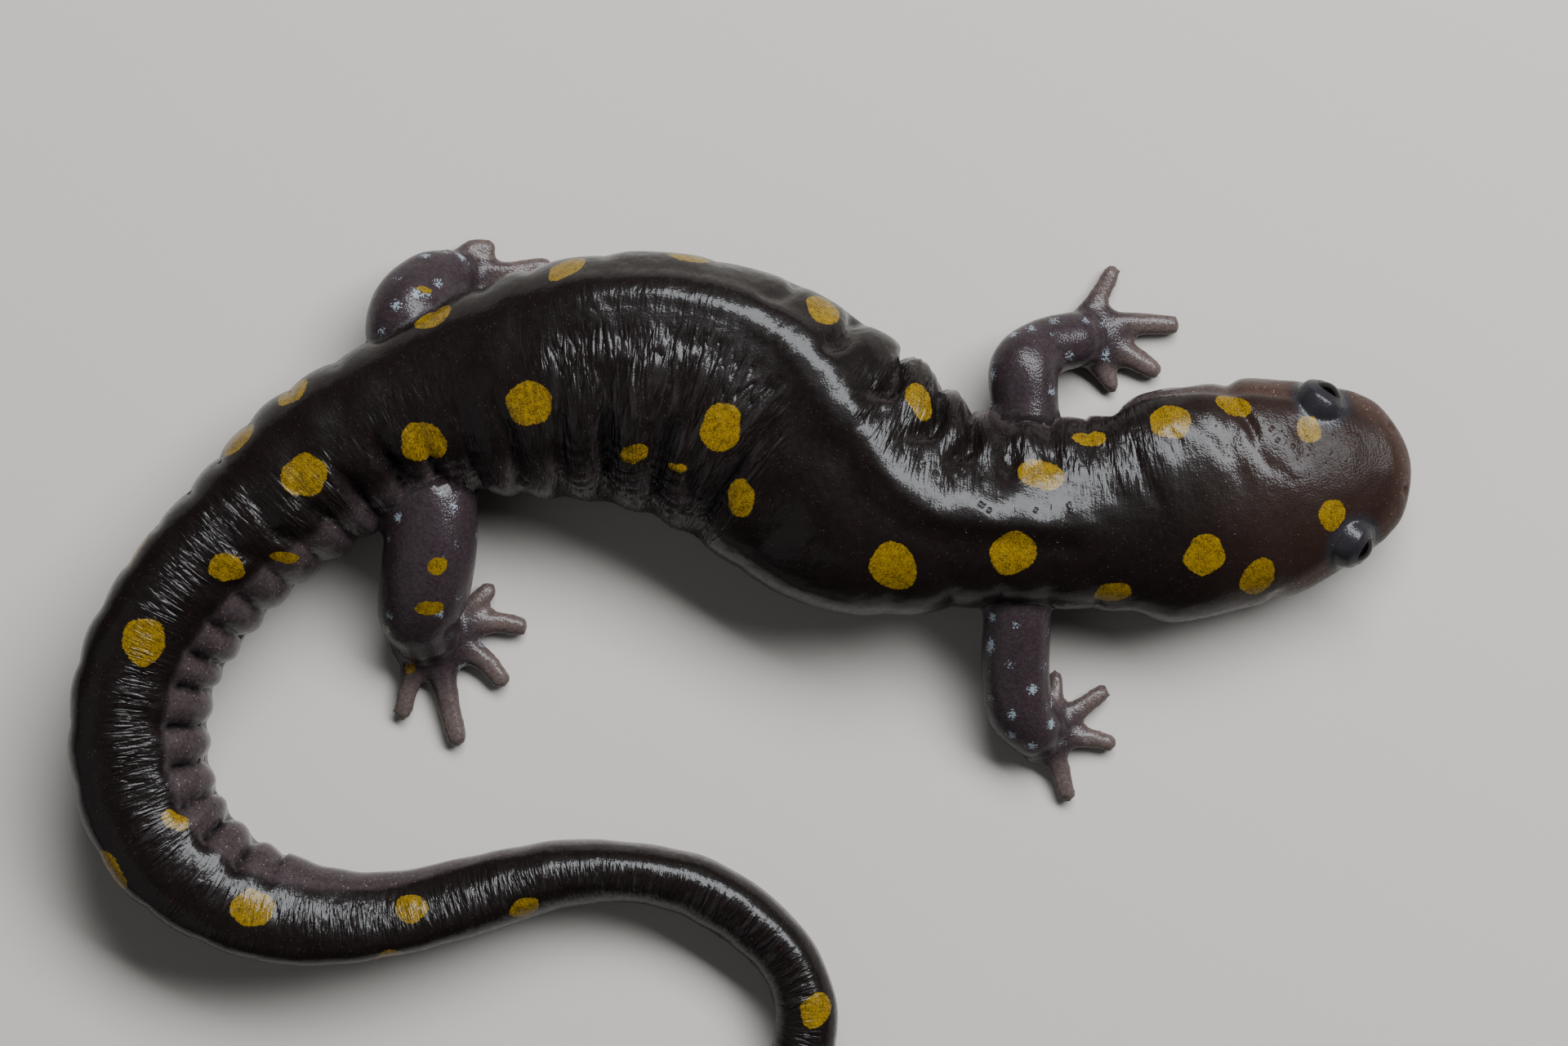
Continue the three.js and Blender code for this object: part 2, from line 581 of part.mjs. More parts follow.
const trunk = bodyLength(ringsBetween(26, 96, GROOVE_STEP), evenAngles(TORSO_COLUMNS), CLEARANCE);

/** A palm and its digits as one solid. */
function palmAndDigits({ palm, digits }) {
  let solid = ball(new THREE.Vector3(...palm.at), palm.radii, 14, 8);
  for (const line of digits) {
    solid = solid.add(limb(line, DIGIT_FLATNESS, DIGIT_COLUMNS, DIGIT_RINGS));
  }
  return solid;
}

for (const plan of LIMBS) {
  const [upperName, lowerName, palmName] = plan.names;
  const bone = (line, grow = 0) => limb(line, LIMB_FLATNESS, LIMB_COLUMNS, LIMB_RINGS, grow);
  const upper = bone(plan.upper).subtract(trunk).subtract(floor);
  const lower = bone(plan.lower)
    .subtract(bone(plan.upper, CLEARANCE))
    .subtract(trunk)
    .subtract(floor);
  const palm = palmAndDigits(plan)
    .subtract(bone(plan.lower, CLEARANCE))
    .subtract(bone(plan.upper, CLEARANCE))
    .subtract(trunk)
    .subtract(floor);
  group.add(meshOf(upperName, upper, LIMB_SKIN));
  group.add(meshOf(lowerName, lower, LIMB_SKIN));
  group.add(meshOf(palmName, palm, LIMB_SKIN));
}

export default group;
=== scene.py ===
"""Dresses the spotted salamander: one unbroken wet skin, two eyes, a pale floor and soft light.

The solids part the animal into named lengths, and here one skin covers them all. Its classes work
in millimetres and degrees, in the frame of the solids, and each finished mesh is brought to
metres. Along the body a place is told by its distance behind the snout and its angle round the
spine: 0 is the animal's left side, 90 the middle of its back and 180 its right side.
"""

import logging
import math
from dataclasses import dataclass, field
from enum import Enum

import bpy
import numpy as np
from mathutils import Matrix, Vector


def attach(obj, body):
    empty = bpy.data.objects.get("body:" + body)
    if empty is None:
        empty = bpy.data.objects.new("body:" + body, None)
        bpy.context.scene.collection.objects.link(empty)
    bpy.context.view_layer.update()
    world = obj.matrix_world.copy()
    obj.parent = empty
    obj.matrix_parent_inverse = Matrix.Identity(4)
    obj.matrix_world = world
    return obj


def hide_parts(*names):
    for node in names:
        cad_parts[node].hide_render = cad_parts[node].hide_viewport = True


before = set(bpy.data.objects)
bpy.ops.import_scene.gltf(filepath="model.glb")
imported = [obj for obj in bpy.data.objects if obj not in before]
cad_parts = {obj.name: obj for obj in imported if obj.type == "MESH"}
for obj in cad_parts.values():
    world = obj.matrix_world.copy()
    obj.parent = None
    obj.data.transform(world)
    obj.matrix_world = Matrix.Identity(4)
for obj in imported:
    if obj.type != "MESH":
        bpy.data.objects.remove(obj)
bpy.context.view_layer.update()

MILLIMETRE = 0.001
FAR = 9.0  # Outside whatever it is compared with.
Array = np.ndarray
Pairs = tuple[tuple[float, float], ...]

log = logging.getLogger("salamander")


# ---- Numbers along the body ----


def smoothstep(value: Array | float, low: float, high: float) -> Array:
    """Rises smoothly from 0 at low to 1 at high."""
    share = np.clip((np.asarray(value, float) - low) / (high - low), 0.0, 1.0)
    return share * share * (3.0 - 2.0 * share)


def between(value: Array, low: float, high: float, fade: float) -> Array:
    """Is 1 from low to high and falls smoothly to 0 over the fade on both sides."""
    return smoothstep(value, low - fade, low) * (1.0 - smoothstep(value, high, high + fade))


def bump(offset: Array, half_width: float | Array) -> Array:
    """A bell-shaped bump of height 1 about zero."""
    return np.exp(-((offset / half_width) ** 2))


def lean_bump(offset: Array, before: float | Array, after: float | Array) -> Array:
    """A bump of height 1 about zero, with one half width before it and another after it."""
    return bump(offset, np.where(offset < 0.0, before, after))


def smooth_max(one: Array, other: Array | float, ease: float) -> Array:
    """The larger of two lengths, with a soft change from one to the other."""
    return (one + other + np.sqrt((one - other) ** 2 + ease * ease)) / 2.0


def waves(places: Array, size: float, seed: int) -> Array:
    """Seeded uneven swell from about -1 to 1.

    Args:
        places: Places in millimetres, one a row.
        size: Length of the swells in millimetres.
        seed: Number that fixes the pattern.

    Returns:
        One value for each place.
    """
    maker = np.random.default_rng(seed)
    total = np.zeros(len(places))
    for _ in range(7):
        way = maker.normal(size=places.shape[1])
        way *= 2.0 * math.pi / size / np.linalg.norm(way) * maker.uniform(0.7, 1.4)
        total += np.sin(places @ way + maker.uniform(0.0, 2.0 * math.pi))
    return total / 3.0


@dataclass(frozen=True)
class Profile:
    """A smooth curve of one value through given (distance, value) pairs."""

    pairs: Pairs

    def __call__(self, distance: Array) -> Array:
        """Values of the curve.

        Args:
            distance: Distances in millimetres.

        Returns:
            The value at each distance.
        """
        at, value = np.array(self.pairs, float).T
        slopes = np.gradient(value)
        slopes[1:-1] = (value[2:] - value[:-2]) / (at[2:] - at[:-2])
        slopes[0] = (value[1] - value[0]) / (at[1] - at[0])
        slopes[-1] = (value[-1] - value[-2]) / (at[-1] - at[-2])
        i = np.clip(np.searchsorted(at, distance, side="right") - 1, 0, len(at) - 2)
        span = at[i + 1] - at[i]
        t = np.clip((distance - at[i]) / span, 0.0, 1.0)
        rise = (value[i + 1] - value[i]) * t * t * (3.0 - 2.0 * t)
        leave = t * (1.0 - t) ** 2 * slopes[i]
        arrive = t * t * (1.0 - t) * slopes[i + 1]
        return value[i] + rise + (leave - arrive) * span


@dataclass(frozen=True)
class Places:
    """Where points of the skin lie on the body.

    Attributes:
        at: Distance of the section that each lies in.
        distance: Distance behind the snout that its grooves go by.
        angle: Angle round the spine, turned with the animal.
        turned: The same angle, from level.
        aside: How far it is to the left of the spine.
        rise: How far it is over the widest line.
        fill: 1 on the plain skin, more outside it and less inside.
    """

    at: Array
    distance: Array
    angle: Array
    turned: Array
    aside: Array
    rise: Array
    fill: Array

    @property
    def off_back(self) -> Array:
        """Degrees from the middle of the back, to either side."""
        return np.abs((self.angle - 90.0 + 180.0) % 360.0 - 180.0)

    @property
    def radius(self) -> Array:
        """Mean radius of the body where each is."""
        over = BODY.back(self.at) - BODY.side(self.at)
        return (BODY.half_width(self.at) + over) / 2.0

    @property
    def on_left(self) -> Array:
        """Whether each is on the animal's left."""
        return np.abs((self.angle + 180.0) % 360.0 - 180.0) < 90.0


@dataclass(frozen=True)
class BodyForm:
    """Head, trunk and tail along the spine, with the measures that the solids have.

    Attributes:
        length: Way along the spine from the snout to the tip of the tail.
        spine_x: Place of the spine in x.
        spine_y: Place of the spine in y.
        half_width: Half the width.
        back: Height of the back.
        side: Height of the widest line.
        belly: Height of the belly.
        roll: Degrees that the section is rolled to the animal's left.
        lean: How far ahead of their section the grooves lie on the left, and behind it on the
            right.
        upper_power: Fullness of the section over the widest line: 2 is round.
        lower_power: The same under it.
        snout_across: Length over which the snout rounds off, seen from above.
        snout_over: The same for its back.
        snout_under: The same for its belly.
        tip_rounding: Length over which the tip of the tail rounds off.
        straight_at: A place in the middle of the straight head.
    """

    length: float = 212.0
    spine_x: Profile = Profile((
        (0, 55.1), (9, 46.3), (18, 37.5), (25, 30.5), (34, 21.5), (41, 14.65), (48, 8.15),
        (55, 2.35), (62, -4.1), (69, -11.0), (77, -19.0), (85, -26.83), (92, -33.08), (100, -39.18),
        (108, -44.7), (115, -48.3), (122, -49.35), (129, -47.6), (136, -42.65), (143, -36.05),
        (150, -29.1), (158, -21.3), (166, -13.5), (174, -5.55), (181, 0.6), (187, 4.5),
        (192, 5.4), (198, 3.3), (204, -1.4), (212, -9.3),
    ))
    spine_y: Profile = Profile((
        (0, 20.7), (9, 18.75), (18, 16.9), (25, 16.0), (34, 16.15), (41, 17.1), (48, 19.5),
        (55, 23.3), (62, 26.05), (69, 27.0), (77, 26.1), (85, 24.15), (92, 20.8), (100, 15.55),
        (108, 9.7), (115, 3.75), (122, -3.1), (129, -9.85), (136, -14.65), (143, -16.95),
        (150, -17.05), (158, -15.35), (166, -13.65), (174, -14.3), (181, -17.5), (187, -22.0),
        (192, -26.85), (198, -32.4), (204, -36.05), (212, -37.2),
    ))
    half_width: Profile = Profile((
        (0, 4.8), (1.5, 5.8), (3, 6.1), (6, 7.3), (9, 8.4), (12, 9.15), (16, 9.4), (21, 9.5),
        (23.8, 8.6), (26.5, 8.0), (36, 8.2), (40, 9.6), (44, 10.9), (48, 11.35), (54, 11.4),
        (61, 11.1), (66, 10.65), (72, 9.95), (77, 9.05), (82, 7.8), (87, 6.85), (95, 6.9),
        (102, 6.1),
        (112, 5.75), (122, 5.65), (130, 5.45), (137, 4.8), (144, 4.1), (150, 3.4), (158, 3.2),
        (170, 2.5), (179, 2.65), (186, 2.5), (192, 2.6), (199, 2.3), (206, 1.5), (212, 0.8),
    ))
    back: Profile = Profile((
        (0, 6.3), (3, 7.5), (6, 8.6), (10, 9.6), (16, 10.4), (24, 10.5), (32, 11.4), (38, 12.1),
        (44, 12.9), (50, 13.8), (60, 14.9), (68, 14.6), (76, 13.2), (84, 12.0), (98, 11.8),
        (114, 11.3), (130, 10.2), (146, 8.3), (160, 7.2), (178, 6.2), (194, 5.2), (204, 4.0),
        (212, 2.2),
    ))
    side: Profile = Profile((
        (0, 3.8), (10, 4.2), (20, 4.7), (32, 5.2), (45, 6.1), (60, 6.5), (80, 5.7), (100, 5.3),
        (122, 4.9), (145, 4.0), (165, 3.3), (190, 2.7), (205, 2.1), (212, 1.2),
    ))
    belly: Profile = Profile((
        (0, 1.5), (5, 1.1), (20, 0.9), (27, 0.3), (33, -0.4), (45, -0.9), (65, -1.0), (85, -0.8),
        (120, -0.7), (170, -0.5), (204, -0.35), (212, -0.2),
    ))
    roll: Profile = Profile((
        (0, 0), (38, 0), (46, 13), (55, 27), (80, 28), (92, 17), (104, 12), (140, 9), (165, 0),
        (212, 0),
    ))
    lean: Profile = Profile(((0, 0), (44, 0), (49, 1.5), (56, 1.5), (63, 0), (212, 0)))
    upper_power: float = 2.15
    lower_power: float = 2.6
    snout_across: float = 4.0
    snout_over: float = 1.9
    snout_under: float = 3.2
    tip_rounding: float = 1.6
    straight_at: float = 9.0

    def spine_at(self, distance: Array) -> tuple[Array, Array, Array]:
        """The spine at some distances.

        Args:
            distance: Distances behind the snout.

        Returns:
            Points of the spine at the height of the widest line, the ways to the animal's left
            and the ways backward there, each one a row.
        """
        inside = np.clip(distance, 0.5, self.length - 0.5)
        ahead, behind = inside - 0.5, inside + 0.5
        x = self.spine_x(behind) - self.spine_x(ahead)
        y = self.spine_y(behind) - self.spine_y(ahead)
        size, flat = np.hypot(x, y), np.zeros_like(x)
        backward = np.stack([x / size, y / size, flat], axis=1)
        left = np.stack([y / size, -x / size, flat], axis=1)
        middle = np.stack([self.spine_x(distance), self.spine_y(distance), self.side(distance)], 1)
        return middle, left, backward

    def bend_to_left(self, distance: Array) -> Array:
        """How sharply the spine bends towards the animal's left, per millimetre."""
        _, _, ahead = self.spine_at(distance - 3.0)
        _, left, _ = self.spine_at(distance)
        _, _, behind = self.spine_at(distance + 3.0)
        return ((behind - ahead) / 6.0 * left).sum(axis=1)

    def fullness(self, distance: Array, snout: float) -> Array:
        """How full a section is: 1 along the body, and 0 at the ends of snout and tail."""
        front = np.clip(distance / snout, 0.0, 1.0)
        rear = np.clip((self.length - distance) / self.tip_rounding, 0.0, 1.0)
        return np.sqrt(1.0 - (1.0 - front) ** 2) * np.sqrt(1.0 - (1.0 - rear) ** 2)

    def section(self, at: Array) -> tuple[Array, Array, Array]:
        """Half the width, and the heights over and under the widest line, of some sections."""
        least = 0.001
        width = self.half_width(at) * self.fullness(at, self.snout_across)
        over = (self.back(at) - self.side(at)) * self.fullness(at, self.snout_over)
        under = (self.side(at) - self.belly(at)) * self.fullness(at, self.snout_under)
        return np.maximum(width, least), np.maximum(over, least), np.maximum(under, least)

    def rim(self, at: Array, turned: Array) -> tuple[Array, Array]:
        """The plain skin in its sections.

        Args:
            at: Distances of the sections.
            turned: Angles round the spine, from level.

        Returns:
            How far each point of the skin is to the left of the spine and over the widest line.
        """
        width, over, under = self.section(at)
        across, up = np.cos(np.radians(turned)), np.sin(np.radians(turned))
        power = 2.0 / np.where(up > 0, self.upper_power, self.lower_power)
        aside = np.sign(across) * np.abs(across) ** power * width
        rise = np.sign(up) * np.abs(up) ** power * np.where(up > 0, over, under)
        return aside, rise

    def point(self, distance: Array, angle: Array, kept: Array | float = 1.0) -> Array:
        """Points of the skin.

        Args:
            distance: Distances behind the snout.
            angle: Angles round the spine.
            kept: Share of the section's radius that is kept.

        Returns:
            The points, one a row.
        """
        turned = angle - self.roll(distance)
        at = distance - self.lean(distance) * np.cos(np.radians(turned))
        middle, left, _ = self.spine_at(at)
        aside, rise = self.rim(at, turned)
        place = middle + left * (aside * kept)[:, None]
        place[:, 2] += rise * kept
        return place

    def place_in_section(self, at: Array, aside: Array, rise: Array) -> Places:
        """The places of points that are known in their sections.

        Args:
            at: Distances of the sections.
            aside: How far the points are to the left of the spine.
            rise: How far they are over the widest line.

        Returns:
            Their places.
        """
        width, over, under = self.section(at)
        power = np.where(rise > 0, self.upper_power, self.lower_power)
        level = (np.abs(aside) / width) ** power
        plumb = (np.abs(rise) / np.where(rise > 0, over, under)) ** power
        up, across = np.sign(rise) * np.sqrt(plumb), np.sign(aside) * np.sqrt(level)
        turned = np.degrees(np.arctan2(up, across))
        distance = at + self.lean(at) * np.cos(np.radians(turned))
        angle = (turned + self.roll(distance)) % 360.0
        fill = (level + plumb) ** (1.0 / power)
        return Places(at, distance, angle, turned, aside, rise, fill)

    def locate(self, points: Array) -> Places:
        """Where points are on the body.

        Args:
            points: Points near the skin, one a row.

        Returns:
            Their places.
        """
        marks = np.arange(0.0, self.length + 0.01, 0.5)
        line = self.spine_at(marks)[0][:, :2]
        at = np.empty(len(points))
        for start in range(0, len(points), 4000):
            part = points[start:start + 4000, None, :2]
            at[start:start + 4000] = marks[((part - line) ** 2).sum(axis=2).argmin(axis=1)]
        for _ in range(5):
            middle, left, backward = self.spine_at(at)
            past = ((points - middle) * backward).sum(axis=1)
            aside = ((points - middle) * left).sum(axis=1)
            room = np.maximum(1.0 - self.bend_to_left(at) * aside, 0.4)
            at = np.clip(at + past / room, 0.0, self.length)
        middle, left, _ = self.spine_at(at)
        aside = ((points - middle) * left).sum(axis=1)
        return self.place_in_section(at, aside, points[:, 2] - middle[:, 2])

    def fill_of(self, points: Array) -> Array:
        """How far out points of the straight head are: 1 on its skin, more outside it."""
        spine = self.spine_at(np.array([self.straight_at]))
        middle, left, backward = (part[0] for part in spine)
        at = self.straight_at + (points - middle) @ backward
        inside = np.clip(at, 0.0, self.length)
        rise = points[:, 2] - self.side(inside)
        found = self.place_in_section(inside, (points - middle) @ left, rise)
        return np.where(at < 0.0, FAR, found.fill)

    def cast(self, origin: Array, points: Array, least: float, most: float) -> Array:
        """Casts rays from inside the head to its plain skin.

        Args:
            origin: Where the rays start.
            points: Points that the rays go through, one a row.
            least: Shortest length, as a share of the way to each point.
            most: Longest length, as a share of the way to each point.

        Returns:
            Share of the way to each point at which its ray meets the skin.
        """
        low, high = np.full(len(points), least), np.full(len(points), most)
        for _ in range(22):
            middle = (low + high) / 2.0
            outside = self.fill_of(origin + (points - origin) * middle[:, None]) > 1.0
            high = np.where(outside, middle, high)
            low = np.where(outside, low, middle)
        return (low + high) / 2.0


BODY = BodyForm()


# ---- Folds of the skin ----

# Angle of the line along the middle of the back.
CREST_AT = Profile((
    (25, 97), (33, 97), (41, 98), (45, 98), (48.3, 94), (50, 96), (53.5, 98), (56.6, 91.5),
    (62, 87), (68, 89), (90, 90),
))
# How far to the right of it the furrow lies and to the left of it the ridge, the height of the
# ridge, half its width on either side, and how deep the hollows on both sides are.
FURROW_ASIDE = Profile(((25, 1.5), (50, 1.5), (60, 0.3), (66, 0), (90, 0)))
RIDGE_ASIDE = Profile(((25, 0.2), (44, 0.3), (50, 1.0), (56, 2.2), (64, 2.6), (90, 2.3)))
RIDGE_HEIGHT = Profile((
    (25, 0.15), (31, 0.45), (40, 0.45), (46, 0.26), (52, 0.3), (57, 0.42), (62, 0.36), (90, 0.2),
))
RIDGE_LEFT = Profile(((25, 1.5), (50, 1.5), (56, 1.3), (90, 1.15)))
RIDGE_RIGHT = Profile(((25, 0.8), (45, 0.8), (54, 2.4), (90, 2.2)))
LEFT_HOLLOW = Profile(((25, 0.1), (32, 0.4), (42, 0.3), (50, 0.12), (58, 0), (90, 0)))
RIGHT_HOLLOW = Profile(((44, 0), (52, 0.2), (58, 0.45), (74, 0.5), (84, 0.3), (90, 0)))
# How far to the left of the spine the highest line of the back lies.
APEX_ASIDE = Profile((
    (0, 0), (24, 0), (32, -1.3), (42, -1.4), (47, -0.8), (52, 0), (94, 0.2), (100, 0.9), (108, 2.0),
    (122, 2.3), (150, 1.5), (165, 0), (212, 0),
))
# Degrees off the middle of the back at which the dark back ends, on either side of the animal.
HEAD_EDGE = Profile(((0, 50), (8, 52), (12, 60), (18, 72), (24, 76), (30, 80)))
RIGHT_EDGE = Profile((
    (0, 50), (8, 52), (12, 60), (18, 72), (26, 85), (50, 84), (60, 80), (75, 78), (88, 66),
    (100, 50), (108, 43), (125, 40), (140, 45), (160, 62), (212, 75),
))
LEFT_EDGE = Profile((
    (0, 50), (8, 52), (12, 60), (18, 72), (24, 76), (40, 72), (50, 80), (90, 88), (212, 92),
))


@dataclass(frozen=True)
class Folds:
    """The grooves and folds that sink the skin, and the lobes between them."""

    trunk_grooves: tuple[float, ...] = (
        26.6, 30.3, 33.9, 37.4, 41.3, 48.7, 54.8, 62.6, 69, 73.9, 77.4, 81.1, 84.8,
    )
    tail_grooves: tuple[float, ...] = (
        88.4, 92, 95.6, 99, 102.4, 105.8, 109.2, 112.6, 116.2, 120.2, 124.2, 128.4, 132.6, 136.6,
        140.4,
    )
    groove_depth: float = 0.52
    crowding: float = 30.0
    least_gain: float = 0.65
    most_gain: float = 2.2
    groove_fade: float = 4.0
    furrow_from: float = 25.0
    furrow_to: float = 78.0
    furrow_depth: float = 0.26
    gular_at: float = 24.2
    gular_depth: float = 0.75
    gular_half_length: float = 0.8
    notch_at: float = 13.5
    notch_depth: float = 0.34
    notch_half_length: float = 0.75
    brow_depth: float = 0.2
    fold_spacing: float = 1.05
    fold_depth: float = 0.24
    minor_depth: float = 0.2
    minor_spacing: float = 1.35
    valleys: Pairs = ((13.4, 0.2), (16.4, 0.12), (20.2, 0.17), (23.9, 0.24), (26.2, 0.12))
    valley_half_length: float = 0.6
    swell_length: float = 4.0
    swell_depth: float = 0.06
    mouth_angle: float = -11.0
    mouth_end: float = 11.5
    mouth_depth: float = 0.42
    mouth_half_angle: float = 4.2
    overhang: float = 0.22

    def groove_share(self, distance: Array, sharpness: float = 0.8) -> Array:
        """How deep in a groove each distance is.

        Args:
            distance: Distances behind the snout.
            sharpness: Power that rounds the lobes. A lower one makes the grooves narrower.

        Returns:
            1 in a groove, and 0 on the crest of a lobe.
        """
        at = np.array(self.trunk_grooves + self.tail_grooves)
        following = np.clip(np.searchsorted(at, distance, side="right"), 1, len(at) - 1)
        share = (distance - at[following - 1]) / (at[following] - at[following - 1])
        shape = 1.0 - np.abs(np.sin(np.pi * np.clip(share, 0.0, 1.0))) ** sharpness
        outside = (distance < at[0] - 0.01) | (distance > at[-1] + 0.01)
        return np.where(outside, 0.0, shape)

    def crowded(self, places: Places) -> Array:
        """How far a bend crowds the skin together, from -1 outside it to 1 inside."""
        bend = BODY.bend_to_left(places.distance) * np.cos(np.radians(places.angle))
        return np.clip(bend * self.crowding / 2.0, -1.0, 1.0)

    def grooves(self, places: Places) -> Array:
        """Depth of the costal grooves and of the folds of the tail."""
        first, last, fade = self.trunk_grooves[0], self.tail_grooves[-1], self.groove_fade
        along = smoothstep(places.distance, first - fade, first + fade)
        along *= 1.0 - smoothstep(places.distance, last - fade, last + fade)
        bend = BODY.bend_to_left(places.distance) * np.cos(np.radians(places.turned))
        gain = np.clip(1.0 + self.crowding * bend, self.least_gain, self.most_gain)
        off = places.off_back
        on_tail = smoothstep(places.distance, 86, 98)
        start = 28.0 - 14.0 * smoothstep(self.crowded(places), 0.0, 0.3) * (1.0 - on_tail)
        on_flank = smoothstep(off - start, 0, 24) * (1.0 - smoothstep(off, 112, 138))
        depth = self.groove_depth * gain * along * on_flank
        return depth * self.groove_share(places.distance, 0.62)

    def mouth(self, places: Places) -> Array:
        """Depth of the mouth line and of the lower jaw under the lip."""
        below = places.off_back - 90.0
        along = 1.0 - smoothstep(places.distance, self.mouth_end - 1.5, self.mouth_end)
        groove = self.mouth_depth * bump(below + self.mouth_angle, self.mouth_half_angle)
        jaw = self.overhang * smoothstep(below, -self.mouth_angle, -self.mouth_angle + 8.0)
        return along * (groove + jaw) * BODY.fullness(places.distance, BODY.snout_across)

    def off_crest(self, places: Places) -> Array:
        """Millimetres round the body from the line along its back, to the animal's right."""
        return np.radians(places.angle - CREST_AT(places.distance)) * places.radius

    def furrow(self, places: Places) -> Array:
        """Depth of the furrow along the middle of the back, less the ridges on both sides."""
        along = smoothstep(places.distance, self.furrow_from, self.furrow_from + 5)
        along *= 1.0 - smoothstep(places.distance, self.furrow_to - 12, self.furrow_to)
        across = self.off_crest(places)
        at = places.distance
        furrow = self.furrow_depth * lean_bump(across - FURROW_ASIDE(at), 0.8, 4.0)
        off_ridge = across + RIDGE_ASIDE(at)
        ridge = RIDGE_HEIGHT(at) * lean_bump(off_ridge, RIDGE_LEFT(at), RIDGE_RIGHT(at))
        hollows = LEFT_HOLLOW(at) * bump(off_ridge + 4.6, 2.0)
        hollows += RIGHT_HOLLOW(at) * lean_bump(across - 2.6, 1.6, 6.0)
        return along * (furrow - ridge + hollows)

    def neck_valleys(self, places: Places) -> Array:
        """Depth of the slanting valleys over the left half of the head and neck."""
        arc = np.radians(places.angle - 90.0) * places.radius
        spread = np.stack([places.distance, arc], axis=1)
        uneven = waves(spread, 5.0, 11)
        slanted = places.distance + 0.045 * (places.angle - 40.0) + 0.4 * uneven
        zone = places.on_left * smoothstep(places.angle, 22, 40)
        zone = zone * (1.0 - smoothstep(places.angle, 70, 96))
        depth = 0.0
        for at, deep in self.valleys:
            depth = depth + deep * bump(slanted - at, self.valley_half_length)
        return zone * depth * (1.0 + 0.5 * waves(spread, 4.0, 12))

    def throat(self, places: Places) -> Array:
        """Depth of the gular fold, and of the notches behind the jaws."""
        below = 1.0 - smoothstep(180.0 - places.off_back, 80, 115)
        gular = self.gular_depth * bump(places.distance - self.gular_at, self.gular_half_length)
        notch = self.notch_depth * bump(places.distance - self.notch_at, self.notch_half_length)
        edge = HEAD_EDGE(places.distance)
        on_cheek = smoothstep(places.off_back, edge - 4, edge + 10)
        on_cheek *= 1.0 - smoothstep(places.off_back, 100, 120)
        brow = self.brow_depth * bump(places.off_back - edge - 3.0, 5.0)
        brow *= between(places.distance, 9.5, 21.5, 1.5) * places.on_left
        return below * gular + on_cheek * notch + brow

    def flank_folds(self, places: Places) -> Array:
        """Depth of the small folds that lie along the crowded right flank, and across lobes."""
        crowd = smoothstep(self.crowded(places), 0.15, 0.6)
        arc = np.radians(places.off_back) * places.radius
        zone = between(places.off_back, 66, 118, 10) * between(places.distance, 44, 84, 5)
        zone *= ~places.on_left
        lines = 0.5 - 0.5 * np.cos(arc * 2.0 * np.pi / self.fold_spacing
                                   + 1.2 * np.sin(places.distance * 1.3))
        along = zone * crowd * self.fold_depth * (1.0 - lines) ** 2
        flank = smoothstep(places.off_back, 25, 55) * (1.0 - smoothstep(places.off_back, 112, 135))
        half = self.groove_share(places.distance, 0.5)
        minor = 0.5 - 0.5 * np.cos(places.distance * 2.0 * np.pi / self.minor_spacing
                                   + 1.6 * np.sin(arc * 0.9 + places.distance * 0.7))
        across = self.minor_depth * crowd * flank * (1.0 - minor) ** 2 * (1.0 - half)
        reach = between(places.distance, 26, 86, 3)
        return along + across * reach

    def swell(self, places: Places) -> Array:
        """Uneven slow swells of the skin, longer round the body than along it."""
        arc = np.radians(places.angle - 90.0) * places.radius
        spread = np.stack([places.distance, arc * 0.3], axis=1)
        slow = waves(spread, self.swell_length, 3) * self.swell_depth
        loose = between(places.distance, 12, 200, 6)
        return slow * (0.35 + 0.65 * loose)

    def sink(self, places: Places) -> Array:
        """How far folds and grooves sink the skin towards the spine, in millimetres."""
        folds = self.grooves(places) + self.furrow(places) + self.throat(places)
        folds = folds + self.neck_valleys(places)
        return folds + self.mouth(places) + self.flank_folds(places) + self.swell(places)


FOLDS = Folds()


@dataclass(frozen=True)
class Crease:
    """One single fold, drawn from above: where it runs, how deep it is and half its width."""

    way: tuple[tuple[float, float], ...]
    depth: float
    half_width: float

    def sink(self, points: Array) -> Array:
        """How far it sinks the skin: fully from its start, fading out to its end.

        Args:
            points: Points of the skin, one a row.

        Returns:
            Depths in millimetres.
        """
        corners = np.array(self.way)
        steps = np.linalg.norm(np.diff(corners, axis=0), axis=1)
        marks = np.concatenate([[0.0], np.cumsum(steps)])
        at = np.linspace(0.0, marks[-1], int(marks[-1] / self.half_width * 3.0) + 2)
        line = np.column_stack([Profile(tuple(zip(marks, part)))(at) for part in corners.T])
        reach = self.half_width * 3.0
        near = (points[:, :2] > line.min(axis=0) - reach).all(axis=1)
        near &= (points[:, :2] < line.max(axis=0) + reach).all(axis=1)
        gaps = np.linalg.norm(points[near][:, None, :2] - line, axis=2)
        nearest = gaps.argmin(axis=1)
        fade = 1.0 - smoothstep(at[nearest] / marks[-1], 0.35, 1.0)
        depth = np.zeros(len(points))
        off = gaps[np.arange(len(nearest)), nearest] / self.half_width
        depth[near] = self.depth * fade * np.exp(-off ** 1.5)
        return depth


